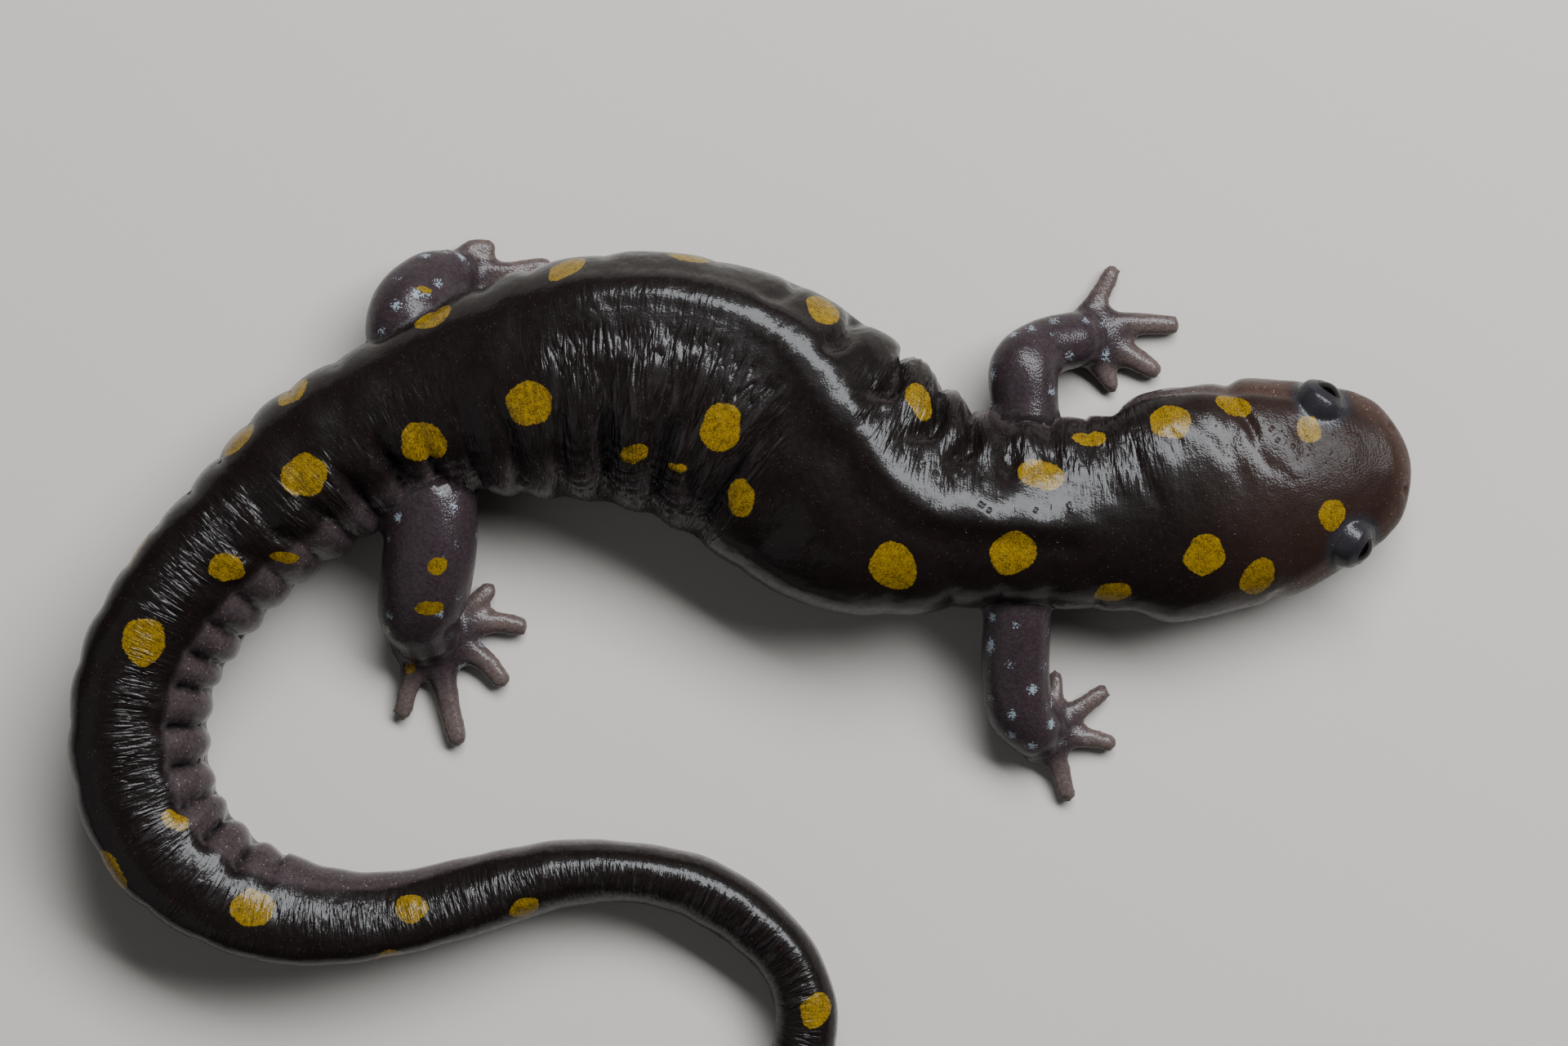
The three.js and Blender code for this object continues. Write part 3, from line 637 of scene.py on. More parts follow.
CREASES: tuple[Crease, ...] = (
    Crease(((4.6, 35.2), (4.2, 34.2), (2.8, 33.6), (0.8, 33.6)), 0.5, 0.6),
    Crease(((9.6, 32.2), (9.1, 30.6), (7.5, 29.5), (5.2, 29.2)), 1.0, 0.65),
    Crease(((13.4, 28.9), (13.0, 26.9), (11.5, 26.2), (10.2, 25.7), (9.2, 24.4)), 1.1, 0.65),
    Crease(((16.4, 26.7), (16.3, 24.0), (14.9, 23.0), (13.5, 22.4), (12.9, 20.0)), 1.05, 0.6),
    Crease(((18.9, 25.2), (19.0, 22.4), (17.5, 20.9), (17.3, 19.7), (16.9, 17.0)), 1.0, 0.6),
    Crease(((21.2, 23.6), (21.4, 21.4), (21.6, 20.2), (21.4, 17.6)), 0.6, 0.5),
    Crease(((22.6, 21.6), (22.1, 20.0), (21.9, 17.6)), 0.35, 0.35),
    Crease(((11.6, 24.4), (10.2, 23.6), (9.0, 22.0)), 0.25, 0.3),
    Crease(((15.2, 21.8), (14.6, 20.4), (14.2, 18.4)), 0.25, 0.3),
    Crease(((19.4, 20.6), (19.4, 19.2), (19.0, 17.0)), 0.22, 0.3),
    Crease(((40.2, 25.2), (39.7, 22.2), (39.3, 19.1)), 0.34, 1.0),
    Crease(((45.5, 22.9), (45.9, 21.2), (44.8, 19.3)), 0.26, 0.8),
    Crease(((-4.4, 17.0), (-4.0, 21.0), (-3.7, 24.5), (-3.6, 28.0)), 0.5, 0.42),
    Crease(((-7.4, 17.2), (-7.1, 21.0), (-7.3, 25.0), (-7.7, 28.6)), 0.55, 0.42),
    Crease(((-11.0, 17.2), (-10.6, 21.5), (-10.9, 24.8), (-11.7, 28.4)), 0.6, 0.42),
    Crease(((-14.5, 17.2), (-14.3, 21.0), (-14.6, 25.0), (-15.2, 28.4)), 0.55, 0.42),
    Crease(((-18.0, 18.4), (-18.6, 21.6), (-19.6, 24.2), (-20.4, 26.8)), 0.5, 0.42),
    Crease(((-23.0, 19.2), (-23.6, 20.8), (-24.4, 22.6), (-24.8, 24.8)), 0.4, 0.42),
    Crease(((-26.7, 18.5), (-27.9, 19.7), (-29.0, 21.0), (-29.6, 23.4)), 0.6, 0.45),
    Crease(((-30.0, 15.4), (-30.7, 16.8), (-31.6, 17.8), (-32.6, 19.8), (-33.2, 22.4)), 0.65, 0.45),
    Crease(((-33.6, 15.2), (-34.6, 16.2), (-35.6, 17.8), (-36.0, 19.6), (-36.7, 21.4)), 0.55, 0.42),
    Crease(((-36.7, 13.8), (-37.8, 14.5), (-38.6, 16.0), (-39.4, 17.4), (-40.2, 19.2)), 0.6, 0.45),
    Crease(((-40.0, 12.4), (-41.2, 13.6), (-42.3, 15.3), (-43.7, 16.8)), 0.5, 0.45),
)


class Hand(Enum):
    """The two sides of the animal, each with its sign on the way to the left."""

    LEFT = 1
    RIGHT = -1


@dataclass(frozen=True)
class EyeSetting:
    """Where the eyes lie in the head, how they look, and the lids round them."""

    behind: float = 6.6
    aside: float = 5.75
    height: float = 6.35
    radius: float = 1.86
    bulge: float = 2.02
    turn: float = 46.0
    lift: float = 24.0
    lid_radius: float = 2.15
    rim_radius: float = 1.98
    opening: float = 37.0
    slant: float = 0.85

    def axes(self, hand: Hand) -> tuple[Array, Array]:
        """The place of one eye.

        Args:
            hand: The side that it is on.

        Returns:
            Its middle, and a matrix of rows: along the opening, the gaze, and across it.
        """
        middle, left, backward = (part[0] for part in BODY.spine_at(np.array([self.behind])))
        centre = middle + left * hand.value * self.aside
        centre[2] = self.height
        up = np.array([0.0, 0.0, 1.0])
        gaze = left * hand.value * math.cos(math.radians(self.turn))
        gaze = gaze - backward * math.sin(math.radians(self.turn))
        gaze = gaze + up * math.tan(math.radians(self.lift))
        gaze /= np.linalg.norm(gaze)
        along = np.cross(gaze, up)
        along /= np.linalg.norm(along)
        return centre, np.stack([along, gaze, np.cross(along, gaze)])

    def openness(self, seen: Array) -> Array:
        """How far directions from the middle of an eye are from its gaze: 1 at the lids' rim."""
        ahead = np.maximum(seen[:, 1], 1e-3)
        wide = np.hypot(seen[:, 0], seen[:, 2] / self.slant)
        measure = wide / (ahead * math.tan(math.radians(self.opening)))
        return np.where(seen[:, 1] > 0.0, measure, FAR)


EYES = EyeSetting()


# ---- Limbs ----

Line = tuple[tuple[float, float, float, float], ...]


@dataclass(frozen=True)
class LimbForm:
    """One limb: the line of its bones and those of its digits (x, y, z, radius), and its palm."""

    bones: Line
    palm_at: tuple[float, float, float]
    palm_radii: tuple[float, float, float]
    digits: tuple[Line, ...]


LIMBS: tuple[LimbForm, ...] = (
    LimbForm(
        ((23.4, 20.6, 5.6, 2.6), (23.4, 24.6, 4.9, 2.75), (23.3, 27.8, 4.7, 2.95),
         (25.0, 29.6, 3.4, 2.5), (27.8, 30.4, 2.2, 2.35)),
        (29.4, 30.6, 1.0), (2.6, 2.9, 1.35),
        (
            ((28.2, 31.6, 1.0, 1.15), (29.6, 33.8, 0.9, 0.8), (30.8, 36.0, 0.7, 0.7)),
            ((29.2, 31.3, 1.0, 1.3), (32.6, 31.7, 0.9, 0.95), (35.8, 31.6, 0.7, 0.8)),
            ((29.6, 30.0, 1.0, 1.3), (32.3, 29.0, 0.9, 1.0), (34.2, 27.9, 0.7, 0.8)),
            ((28.8, 29.4, 1.0, 1.1), (30.0, 27.9, 0.9, 0.85), (30.8, 26.6, 0.7, 0.7)),
        ),
    ),
    LimbForm(
        ((22.8, 11.9, 6.0, 2.7), (22.7, 7.4, 5.4, 2.8), (22.6, 3.0, 4.2, 2.85),
         (23.1, -0.4, 3.2, 2.75), (24.3, -2.0, 2.2, 2.4)),
        (25.2, -2.2, 1.0), (2.6, 2.9, 1.35),
        (
            ((25.6, -1.2, 1.0, 1.0), (26.0, 0.9, 0.9, 0.75), (26.1, 2.4, 0.7, 0.65)),
            ((26.0, -1.7, 1.0, 1.1), (28.5, 0.0, 0.9, 0.8), (30.0, 1.1, 0.7, 0.7)),
            ((26.0, -2.4, 1.0, 1.1), (28.8, -2.7, 0.9, 0.8), (30.6, -3.1, 0.7, 0.7)),
            ((25.4, -2.8, 1.0, 1.2), (26.4, -5.2, 0.9, 0.85), (27.0, -7.4, 0.7, 0.75)),
        ),
    ),
    LimbForm(
        ((-25.2, 21.0, 6.0, 3.2), (-25.35, 15.0, 5.9, 3.8), (-25.9, 10.4, 5.0, 3.8),
         (-26.6, 7.6, 3.7, 3.4), (-26.2, 6.2, 2.5, 2.8)),
        (-25.6, 5.4, 1.0), (3.7, 3.0, 1.4),
        (
            ((-24.2, 6.4, 1.0, 1.1), (-22.2, 8.4, 1.0, 0.85), (-21.0, 9.6, 0.8, 0.75)),
            ((-24.0, 6.0, 1.0, 1.2), (-20.9, 6.9, 0.9, 0.9), (-18.4, 6.6, 0.7, 0.8)),
            ((-24.2, 5.2, 1.0, 1.2), (-21.4, 3.8, 0.9, 0.9), (-20.0, 2.1, 0.7, 0.8)),
            ((-25.1, 4.7, 1.0, 1.3), (-24.5, 0.8, 0.9, 0.95), (-23.7, -2.7, 0.7, 0.85)),
            ((-26.8, 4.8, 1.0, 1.2), (-27.6, 1.8, 0.9, 0.85), (-28.2, -0.6, 0.7, 0.75)),
        ),
    ),
    LimbForm(
        ((-26.3, 26.8, 5.8, 3.2), (-27.1, 29.6, 5.5, 3.7), (-27.1, 32.6, 5.0, 3.5),
         (-25.7, 34.9, 3.6, 2.8), (-24.2, 35.7, 2.5, 2.2)),
        (-23.2, 35.8, 1.0), (2.6, 2.2, 1.3),
        (
            ((-23.8, 36.4, 1.0, 0.95), (-22.4, 37.8, 1.0, 0.85), (-21.0, 38.0, 0.8, 0.75)),
            ((-23.2, 36.0, 1.0, 1.05), (-19.2, 35.9, 1.0, 0.95), (-16.4, 36.5, 0.8, 0.8)),
            ((-23.0, 35.7, 1.0, 1.1), (-20.0, 34.8, 0.9, 0.9), (-17.6, 34.8, 0.7, 0.75)),
            ((-22.8, 35.4, 1.0, 1.1), (-20.8, 34.0, 0.9, 0.85), (-18.8, 33.4, 0.7, 0.7)),
            ((-23.4, 35.0, 1.0, 1.0), (-22.4, 33.4, 0.9, 0.8), (-21.2, 32.3, 0.7, 0.7)),
        ),
    ),
)


def smooth_line(line: Line, count: int) -> tuple[Array, Array, Array]:
    """A smooth way through the points of a line.

    Args:
        line: Points with their radii.
        count: How many even places along it are wanted.

    Returns:
        The places, the ways forward there and the radii.
    """
    corners = np.array(line, float)
    steps = np.linalg.norm(np.diff(corners[:, :3], axis=0), axis=1)
    marks = np.concatenate([[0.0], np.cumsum(steps)])
    curves = [Profile(tuple(zip(marks, corners[:, axis]))) for axis in range(4)]
    at = np.linspace(0.0, marks[-1], count)
    places = np.stack([curve(at) for curve in curves], axis=1)
    ahead = np.gradient(places[:, :3], axis=0)
    ahead /= np.linalg.norm(ahead, axis=1)[:, None]
    return places[:, :3], ahead, places[:, 3]


# ---- Working on meshes ----


def clear_selection() -> None:
    """Deselects every object."""
    bpy.ops.object.select_all(action="DESELECT")


def pick(piece: bpy.types.Object) -> None:
    """Makes one object the only one selected, and active."""
    clear_selection()
    piece.select_set(True)
    bpy.context.view_layer.objects.active = piece


def corners_of(piece: bpy.types.Object) -> Array:
    """The corners of a mesh, one a row."""
    flat = np.empty(len(piece.data.vertices) * 3)
    piece.data.vertices.foreach_get("co", flat)
    return flat.reshape(-1, 3)


def set_corners(piece: bpy.types.Object, places: Array) -> None:
    """Moves the corners of a mesh to new places."""
    piece.data.vertices.foreach_set("co", np.ascontiguousarray(places, float).ravel())
    piece.data.update()


def apply_modifier(piece: bpy.types.Object, kind: str, **settings: object) -> None:
    """Adds a modifier to a mesh and applies it.

    Args:
        piece: The mesh object.
        kind: Blender's name for the modifier.
        **settings: Its settings.
    """
    pick(piece)
    modifier = piece.modifiers.new(kind.lower(), kind)
    for name, value in settings.items():
        setattr(modifier, name, value)
    bpy.ops.object.modifier_apply(modifier=modifier.name)


def keep_values(piece: bpy.types.Object, name: str, values: Array) -> None:
    """Stores a value or a vector at each corner of a mesh, for its material to read."""
    kind, key = ("FLOAT_VECTOR", "vector") if values.ndim == 2 else ("FLOAT", "value")
    held = piece.data.attributes.new(name, kind, "POINT")
    held.data.foreach_set(key, np.ascontiguousarray(values, np.float32).ravel())


def rolled_tube(name: str, rows: Array) -> bpy.types.Object:
    """A closed tube, rolled from a flat grid whose seam is merged and whose ends are filled.

    Args:
        name: Name of the new object.
        rows: Corner points by row along the tube and column round it.

    Returns:
        The tube.
    """
    count, columns = rows.shape[:2]
    clear_selection()
    bpy.ops.mesh.primitive_grid_add(x_subdivisions=columns, y_subdivisions=count - 1, size=2.0)
    tube = bpy.context.object
    tube.name = name
    flat = corners_of(tube)
    column = np.rint((flat[:, 0] + 1.0) / 2.0 * columns).astype(int) % columns
    row = np.rint((flat[:, 1] + 1.0) / 2.0 * (count - 1)).astype(int)
    set_corners(tube, rows[row, column])
    bpy.ops.object.mode_set(mode="EDIT")
    bpy.ops.mesh.select_all(action="SELECT")
    bpy.ops.mesh.remove_doubles(threshold=0.0005)
    bpy.ops.mesh.fill_holes(sides=0)
    bpy.ops.mesh.select_all(action="SELECT")
    bpy.ops.mesh.normals_make_consistent(inside=False)
    bpy.ops.object.mode_set(mode="OBJECT")
    return tube


def limb_tube(name: str, line: Line, flatness: float, columns: int, rows: int) -> bpy.types.Object:
    """A limb or a digit along its line, round at both ends.

    Args:
        name: Name of the new object.
        line: Points along its middle with their radii.
        flatness: Height of its section against its width.
        columns: Corners round it.
        rows: Rings along it, between its round ends.

    Returns:
        The limb.
    """
    middle, ahead, radius = smooth_line(line, rows)
    turns = np.radians([18.0, 36.0, 54.0, 72.0, 86.0])
    start, end = middle[0], middle[-1]
    first = [start - ahead[0] * radius[0] * flatness * math.sin(t) for t in turns[::-1]]
    last = [end + ahead[-1] * radius[-1] * flatness * math.sin(t) for t in turns]
    centres = np.vstack([first, middle, last])
    cap = (len(turns), 1)
    ways = np.vstack([np.tile(ahead[0], cap), ahead, np.tile(ahead[-1], cap)])
    sizes = np.concatenate([radius[0] * np.cos(turns[::-1]), radius, radius[-1] * np.cos(turns)])
    left = np.cross([0.0, 0.0, 1.0], ways)
    left /= np.linalg.norm(left, axis=1)[:, None]
    top = np.cross(ways, left)
    round_it = np.arange(columns) / columns * 2.0 * np.pi
    across = left[:, None] * np.cos(round_it)[None, :, None]
    over = top[:, None] * np.sin(round_it)[None, :, None] * flatness
    return rolled_tube(name, centres[:, None] + (across + over) * sizes[:, None, None])


# ---- Markings ----


@dataclass(frozen=True)
class Spot:
    """A yellow spot on the body: its middle, its length and width, and its long axis's turn."""

    distance: float
    angle: float
    long: float
    short: float
    turn: float

    def frame(self) -> tuple[Array, Array, Array]:
        """Its middle on the skin, and the ways backward and round the body there."""
        at, angle = np.array([self.distance]), np.array([self.angle])
        middle = BODY.point(at, angle)[0]
        round_it = (BODY.point(at, angle + 4.0) - BODY.point(at, angle - 4.0))[0]
        backward = (BODY.point(at + 0.8, angle) - BODY.point(at - 0.8, angle))[0]
        round_it /= np.linalg.norm(round_it)
        backward -= round_it * (backward @ round_it)
        return middle, backward / np.linalg.norm(backward), round_it


@dataclass(frozen=True)
class LimbSpot:
    """A yellow spot on a limb, seen from above: its middle, length, width and turn."""

    x: float
    y: float
    long: float
    short: float
    turn: float


SPOTS: tuple[Spot, ...] = (
    Spot(19.3, 44, 3.4, 3.2, -40), Spot(13.6, 38, 3.2, 2.0, -42), Spot(8.1, 62, 2.4, 2.0, 88),
    Spot(7.8, 112, 2.6, 2.3, 72), Spot(18.6, 114, 3.7, 3.1, 47), Spot(14.8, 136, 3.6, 2.8, 53),
    Spot(26.8, 38, 2.8, 1.6, -1), Spot(31.1, 65, 4.3, 2.9, -14), Spot(33.3, 112, 3.9, 3.6, 32),
    Spot(25.6, 140, 3.0, 2.1, 15), Spot(43.3, 52, 3.7, 2.7, -45), Spot(41.8, 128, 4.3, 3.7, -45),
    Spot(56.7, 54, 4.0, 3.0, -71), Spot(52.6, 148, 3.4, 2.3, -47), Spot(58.1, 128, 4.3, 3.3, -82),
    Spot(64.1, 44, 3.4, 2.4, 3), Spot(60.8, 154, 2.1, 1.0, 16), Spot(65.8, 154, 2.6, 1.8, 33),
    Spot(71.3, 56, 4.0, 2.6, 51), Spot(75.3, 128, 3.9, 3.6, -13), Spot(81.3, 57, 3.3, 2.8, 0),
    Spot(84.8, 136, 3.8, 3.5, -34), Spot(91.8, 45, 2.9, 3.3, 0), Spot(96.8, 44, 3.6, 3.0, 10),
    Spot(94.8, 106, 3.7, 3.5, -8), Spot(104.6, 113, 3.2, 2.5, -62), Spot(100.8, 142, 2.9, 1.2, -62),
    Spot(108.1, 42, 3.4, 2.6, 0), Spot(113.3, 95, 4.0, 3.5, 7), Spot(129.3, 122, 2.9, 2.1, 39),
    Spot(129.6, 54, 4.2, 2.7, -10), Spot(136.1, 30, 3.0, 2.6, 79), Spot(139.3, 98, 3.7, 3.1, 24),
    Spot(152.3, 102, 2.8, 2.6, -13), Spot(149.8, 38, 2.9, 2.8, -75), Spot(161.1, 54, 2.5, 2.1, 0),
    Spot(190.1, 107, 3.1, 2.6, -45),
)
# Glands of the skin that show as little rings, by their place seen from above.
PORES: tuple[tuple[float, float], ...] = (
    (43.2, 22.8), (43.7, 21.9), (44.9, 21.4), (19.4, 16.7), (20.1, 16.2), (23.9, 16.2),
    (26.6, 16.7), (26.8, 16.2), (25.7, 13.7), (23.8, 14.2), (18.3, 14.5), (14.8, 19.8),
)
LIMB_SPOTS: tuple[LimbSpot, ...] = (
    LimbSpot(-24.5, 11.2, 1.75, 1.5, 10), LimbSpot(-25.0, 8.0, 2.3, 1.3, 0),
    LimbSpot(-29.7, 6.2, 1.1, 0.6, 80), LimbSpot(-27.6, 2.9, 1.1, 0.95, 0),
    LimbSpot(-25.4, 34.4, 1.3, 0.6, -15),
)


def inside_spot(points: Array, middle: Array, way: Array, round_it: Array, spot: Spot | LimbSpot,
                seed: int) -> Array:
    """How deep points are inside one spot with an uneven edge.

    Args:
        points: Points of the skin.
        middle: The spot's middle.
        way: The way that its turn counts from.
        round_it: The way that its turn goes to.
        spot: The spot's sizes.
        seed: Number that fixes its edge.

    Returns:
        Millimetres inside its edge, and less than 0 outside.
    """
    offset = points - middle
    reach = np.linalg.norm(offset, axis=1)
    along, across = offset @ way, offset @ round_it
    bearing = np.arctan2(across, along)
    turned = bearing - math.radians(spot.turn)
    long, short = spot.long / 2.0, spot.short / 2.0
    edge = long * short / np.hypot(short * np.cos(turned), long * np.sin(turned))
    maker = np.random.default_rng(seed)
    for lobes in (2, 3, 4, 5):
        share = maker.uniform(0.01, 0.04)
        edge *= 1.0 + share * np.sin(lobes * bearing + maker.uniform(0.0, 6.28))
    return edge - reach


# ---- The skin ----


@dataclass
class Skin:
    """One unbroken skin over head, body, tail and limbs."""

    ring_step: float = 0.7
    column_turn: float = 5.0
    voxel: float = 0.42
    smoothing_rounds: int = 3
    limb_flatness: float = 0.92
    digit_flatness: float = 0.82
    digit_fullness: float = 1.12
    fine_head_to: float = 14.0
    fine_eye_reach: float = 3.1
    fine_nostril_reach: float = 1.1
    fine_rim_reach: float = 2.6
    lid_reach: float = 3.4
    hold_gap: tuple[float, float] = (0.12, 0.8)
    cast_head_to: float = 7.0
    nostril_behind: float = 1.15
    nostril_aside: float = 42.0
    nostril_depth: float = 0.42
    nostril_half_width: float = 0.34
    socket_gap: float = 0.25
    film_weight: float = 0.74
    dry_snout: float = 0.78
    limb_pattern_start: float = 300.0
    limb_pattern_step: float = 40.0
    limb_spot_seed: int = 50
    piece: bpy.types.Object = field(init=False)

    def build(self) -> None:
        """Lofts body and limbs, fuses them to one skin and shapes that in detail."""
        parts = [self._body(), *self._lid_domes()]
        for number, form in enumerate(LIMBS):
            parts += self._limb(f"limb_{number}", form)
        pick(parts[0])
        for part in parts[1:]:
            part.select_set(True)
        bpy.ops.object.join()
        self.piece = bpy.context.object
        self.piece.name = self.piece.data.name = "skin"
        apply_modifier(self.piece, "REMESH", mode="VOXEL", voxel_size=self.voxel)
        apply_modifier(self.piece, "SMOOTH", factor=0.5, iterations=self.smoothing_rounds)
        self._refine()
        self._shape(self._snap())
        log.info("skin: %d corners, %d faces", len(self.piece.data.vertices),
                 len(self.piece.data.polygons))

    def _body(self) -> bpy.types.Object:
        """The plain loft of head, trunk and tail."""
        front = BODY.snout_across * (1.0 - np.cos(np.radians(np.linspace(3, 87, 14))))
        trunk = np.arange(BODY.snout_across, BODY.length - BODY.tip_rounding, self.ring_step)
        tip = BODY.length - BODY.tip_rounding * (1.0 - np.array([0.0, 0.3, 0.6, 0.85, 0.98]))
        rings = np.concatenate([front, trunk, tip])
        angles = np.arange(0.0, 360.0, self.column_turn)
        grid = np.meshgrid(rings, angles, indexing="ij")
        flat = BODY.point(grid[0].ravel(), grid[1].ravel())
        return rolled_tube("body", flat.reshape(len(rings), len(angles), 3))

    def _lid_domes(self) -> list[bpy.types.Object]:
        """A ball for the lids of each eye."""
        domes = []
        for hand in Hand:
            centre, _ = EYES.axes(hand)
            clear_selection()
            bpy.ops.mesh.primitive_uv_sphere_add(segments=40, ring_count=24,
                                                 radius=EYES.lid_radius, location=tuple(centre))
            bpy.ops.object.transform_apply(location=True, rotation=True, scale=True)
            bpy.context.object.name = f"lids_{hand.name.lower()}"
            domes.append(bpy.context.object)
        return domes

    def _limb(self, name: str, form: LimbForm) -> list[bpy.types.Object]:
        """The tubes and the palm of one limb."""
        parts = [limb_tube(f"{name}_bones", form.bones, self.limb_flatness, 32, 24)]
        clear_selection()
        bpy.ops.mesh.primitive_uv_sphere_add(segments=32, ring_count=20, location=form.palm_at,
                                             scale=form.palm_radii)
        bpy.ops.object.transform_apply(location=True, rotation=True, scale=True)
        parts.append(bpy.context.object)
        for number, line in enumerate(form.digits):
            full = tuple((x, y, z, radius * self.digit_fullness) for x, y, z, radius in line)
            parts.append(limb_tube(f"{name}_digit_{number}", full, self.digit_flatness, 20, 16))
        return parts

    def _subdivide(self, chosen: Array) -> None:
        """Divides the faces that have all their corners chosen."""
        mesh = self.piece.data
        pick(self.piece)
        starts = np.empty(len(mesh.polygons), int)
        mesh.polygons.foreach_get("loop_start", starts)
        corners = np.empty(len(mesh.loops), int)
        mesh.loops.foreach_get("vertex_index", corners)
        whole = np.logical_and.reduceat(chosen[corners], starts)
        mesh.polygons.foreach_set("select", whole)
        edges = np.empty(len(mesh.edges) * 2, int)
        mesh.edges.foreach_get("vertices", edges)
        mesh.edges.foreach_set("select", chosen[edges].reshape(-1, 2).all(axis=1))
        mesh.vertices.foreach_set("select", chosen)
        bpy.ops.object.mode_set(mode="EDIT")
        bpy.ops.mesh.select_mode(type="FACE")
        bpy.ops.mesh.subdivide(number_cuts=1, smoothness=0.0)
        bpy.ops.object.mode_set(mode="OBJECT")

    def _refine(self) -> None:
        """Makes the mesh finer on the head, and finer still at eyes, nostrils and lips."""
        points = corners_of(self.piece)
        places = BODY.locate(points)
        self._subdivide((places.at < self.fine_head_to) & (places.fill < 1.6))
        points = corners_of(self.piece)
        places = BODY.locate(points)
        near = (np.abs(places.off_back - 101.0) < 9.0) & (places.at < FOLDS.mouth_end + 1.0)
        for hand in Hand:
            centre, _ = EYES.axes(hand)
            near |= np.linalg.norm(points - centre, axis=1) < self.fine_eye_reach
            from_nostril = np.linalg.norm(points - self._nostril(hand), axis=1)
            near |= from_nostril < self.fine_nostril_reach
        self._subdivide(near & (places.at < self.fine_head_to - 1.0))
        points = corners_of(self.piece)
        rim = np.zeros(len(points), bool)
        for hand in Hand:
            centre, rows = EYES.axes(hand)
            offset = points - centre
            reach = np.linalg.norm(offset, axis=1)
            openness = EYES.openness(offset / reach[:, None] @ rows.T)
            rim |= (reach < self.fine_rim_reach) & (openness > 0.75) & (openness < 1.2)
        self._subdivide(rim)

    def _nostril(self, hand: Hand) -> Array:
        """The middle of one nostril."""
        angle = 90.0 - hand.value * self.nostril_aside
        return BODY.point(np.array([self.nostril_behind]), np.array([angle]))[0]

    def _snap(self) -> Array:
        """Brings the skin of the body on to its true form, with lids round the eyes.

        Returns:
            How far each corner is held to the body: 1 on it and 0 on the limbs.
        """
        points = corners_of(self.piece)
        places = BODY.locate(points)
        aside, rise = BODY.rim(places.at, places.turned)
        middle, left, _ = BODY.spine_at(places.at)
        target = middle + left * aside[:, None]
        target[:, 2] += rise
        _, over, _ = BODY.section(places.at)
        height = np.clip(places.rise / over, 0.0, 1.0)
        shear = left * (APEX_ASIDE(places.at) * height**2)[:, None]
        on_head = places.at < self.cast_head_to
        anchor = BODY.spine_at(np.array([self.cast_head_to]))[0][0]
        anchor[2] = 5.0
        share = BODY.cast(anchor, points[on_head], 0.3, 2.0)
        target[on_head] = anchor + (points[on_head] - anchor) * share[:, None]
        proud = np.linalg.norm(points - target, axis=1) * np.where(places.fill > 1.0, 1.0, 0.0)
        hold = 1.0 - smoothstep(proud, *self.hold_gap)
        for hand in Hand:
            centre, rows = EYES.axes(hand)
            offset = points - centre
            reach = np.linalg.norm(offset, axis=1)
            near = reach < self.lid_reach
            skin_at = BODY.cast(centre, points[near], 0.02, 2.2) * reach[near]
            dome = smooth_max(skin_at, EYES.lid_radius, 0.3)
            seen = offset[near] / reach[near][:, None]
            openness = EYES.openness(seen @ rows.T)
            shut = smoothstep(openness, 0.86, 1.06)
            thin = 1.0 - smoothstep(openness, 1.0, 2.4)
            dome = dome - (dome - EYES.rim_radius) * thin
            depth = dome * shut + (EYES.radius - self.socket_gap) * (1.0 - shut)
            target[near] = centre + seen * depth[:, None]
            hold[near] = 1.0
        set_corners(self.piece, points + (target + shear - points) * hold[:, None])
        return hold

    def _shape(self, hold: Array) -> None:
        """Sinks the folds into the skin and keeps what the finish reads.

        Args:
            hold: 1 on the body and 0 on the limbs.
        """
        points = corners_of(self.piece)
        places = BODY.locate(points)
        drawn = sum(crease.sink(points) for crease in CREASES)
        sink = (FOLDS.sink(places) + drawn * smoothstep(places.rise, -1.5, 0.5)) * hold
        radius = np.maximum(np.hypot(places.aside, places.rise), 0.5)
        middle, left, _ = BODY.spine_at(places.at)
        inward = -(left * (places.aside / radius)[:, None])
        inward[:, 2] -= places.rise / radius
        points = points + inward * sink[:, None]
        for hand in Hand:
            nostril = self._nostril(hand)
            offset = points - nostril
            reach = np.linalg.norm(offset, axis=1)
            pit = self.nostril_depth * bump(reach, self.nostril_half_width)
            anchor = BODY.spine_at(np.array([6.0]))[0][0]
            anchor[2] = 4.5
            way = (anchor - nostril) / np.linalg.norm(anchor - nostril)
            points += way * pit[:, None]
        points[:, 2] = np.maximum(points[:, 2], 0.0)
        set_corners(self.piece, points)
        self._mark(points, places, hold)

    def _mark(self, points: Array, places: Places, hold: Array) -> None:
        """Keeps at each corner what the finish reads.

        Args:
            points: Corners of the skin.
            places: Their places on the body.
            hold: 1 on the body and 0 on the limbs.
        """
        limb = 1.0 - hold
        edge = np.where(places.on_left, LEFT_EDGE(places.distance), RIGHT_EDGE(places.distance))
        past_edge = places.off_back - edge
        lie, toe = self._lie(points, places, limb)
        pale, lid = self._zones(points, places, past_edge)
        snout = (1.0 - smoothstep(places.at, 7.0, 14.0)) * (1.0 - lid)
        marks = {
            "lie": lie,
            "spot": self._spot_depth(points, hold),
            "limb": limb,
            "toe": toe,
            "pale": pale * hold,
            "wrinkle": self._wrinkle(places, past_edge, hold),
            # Painted shade for the bottoms of the grooves.
            "crease": self._groove_shade(places) * hold,
            "warm": 1.0 - smoothstep(places.at, 10, 22),
            "lid": lid,
            "film": self.film_weight * (1.0 - self.dry_snout * snout),
            "pore": self._pore_offset(points, places),
        }
        for name, values in marks.items():
            keep_values(self.piece, name, values)

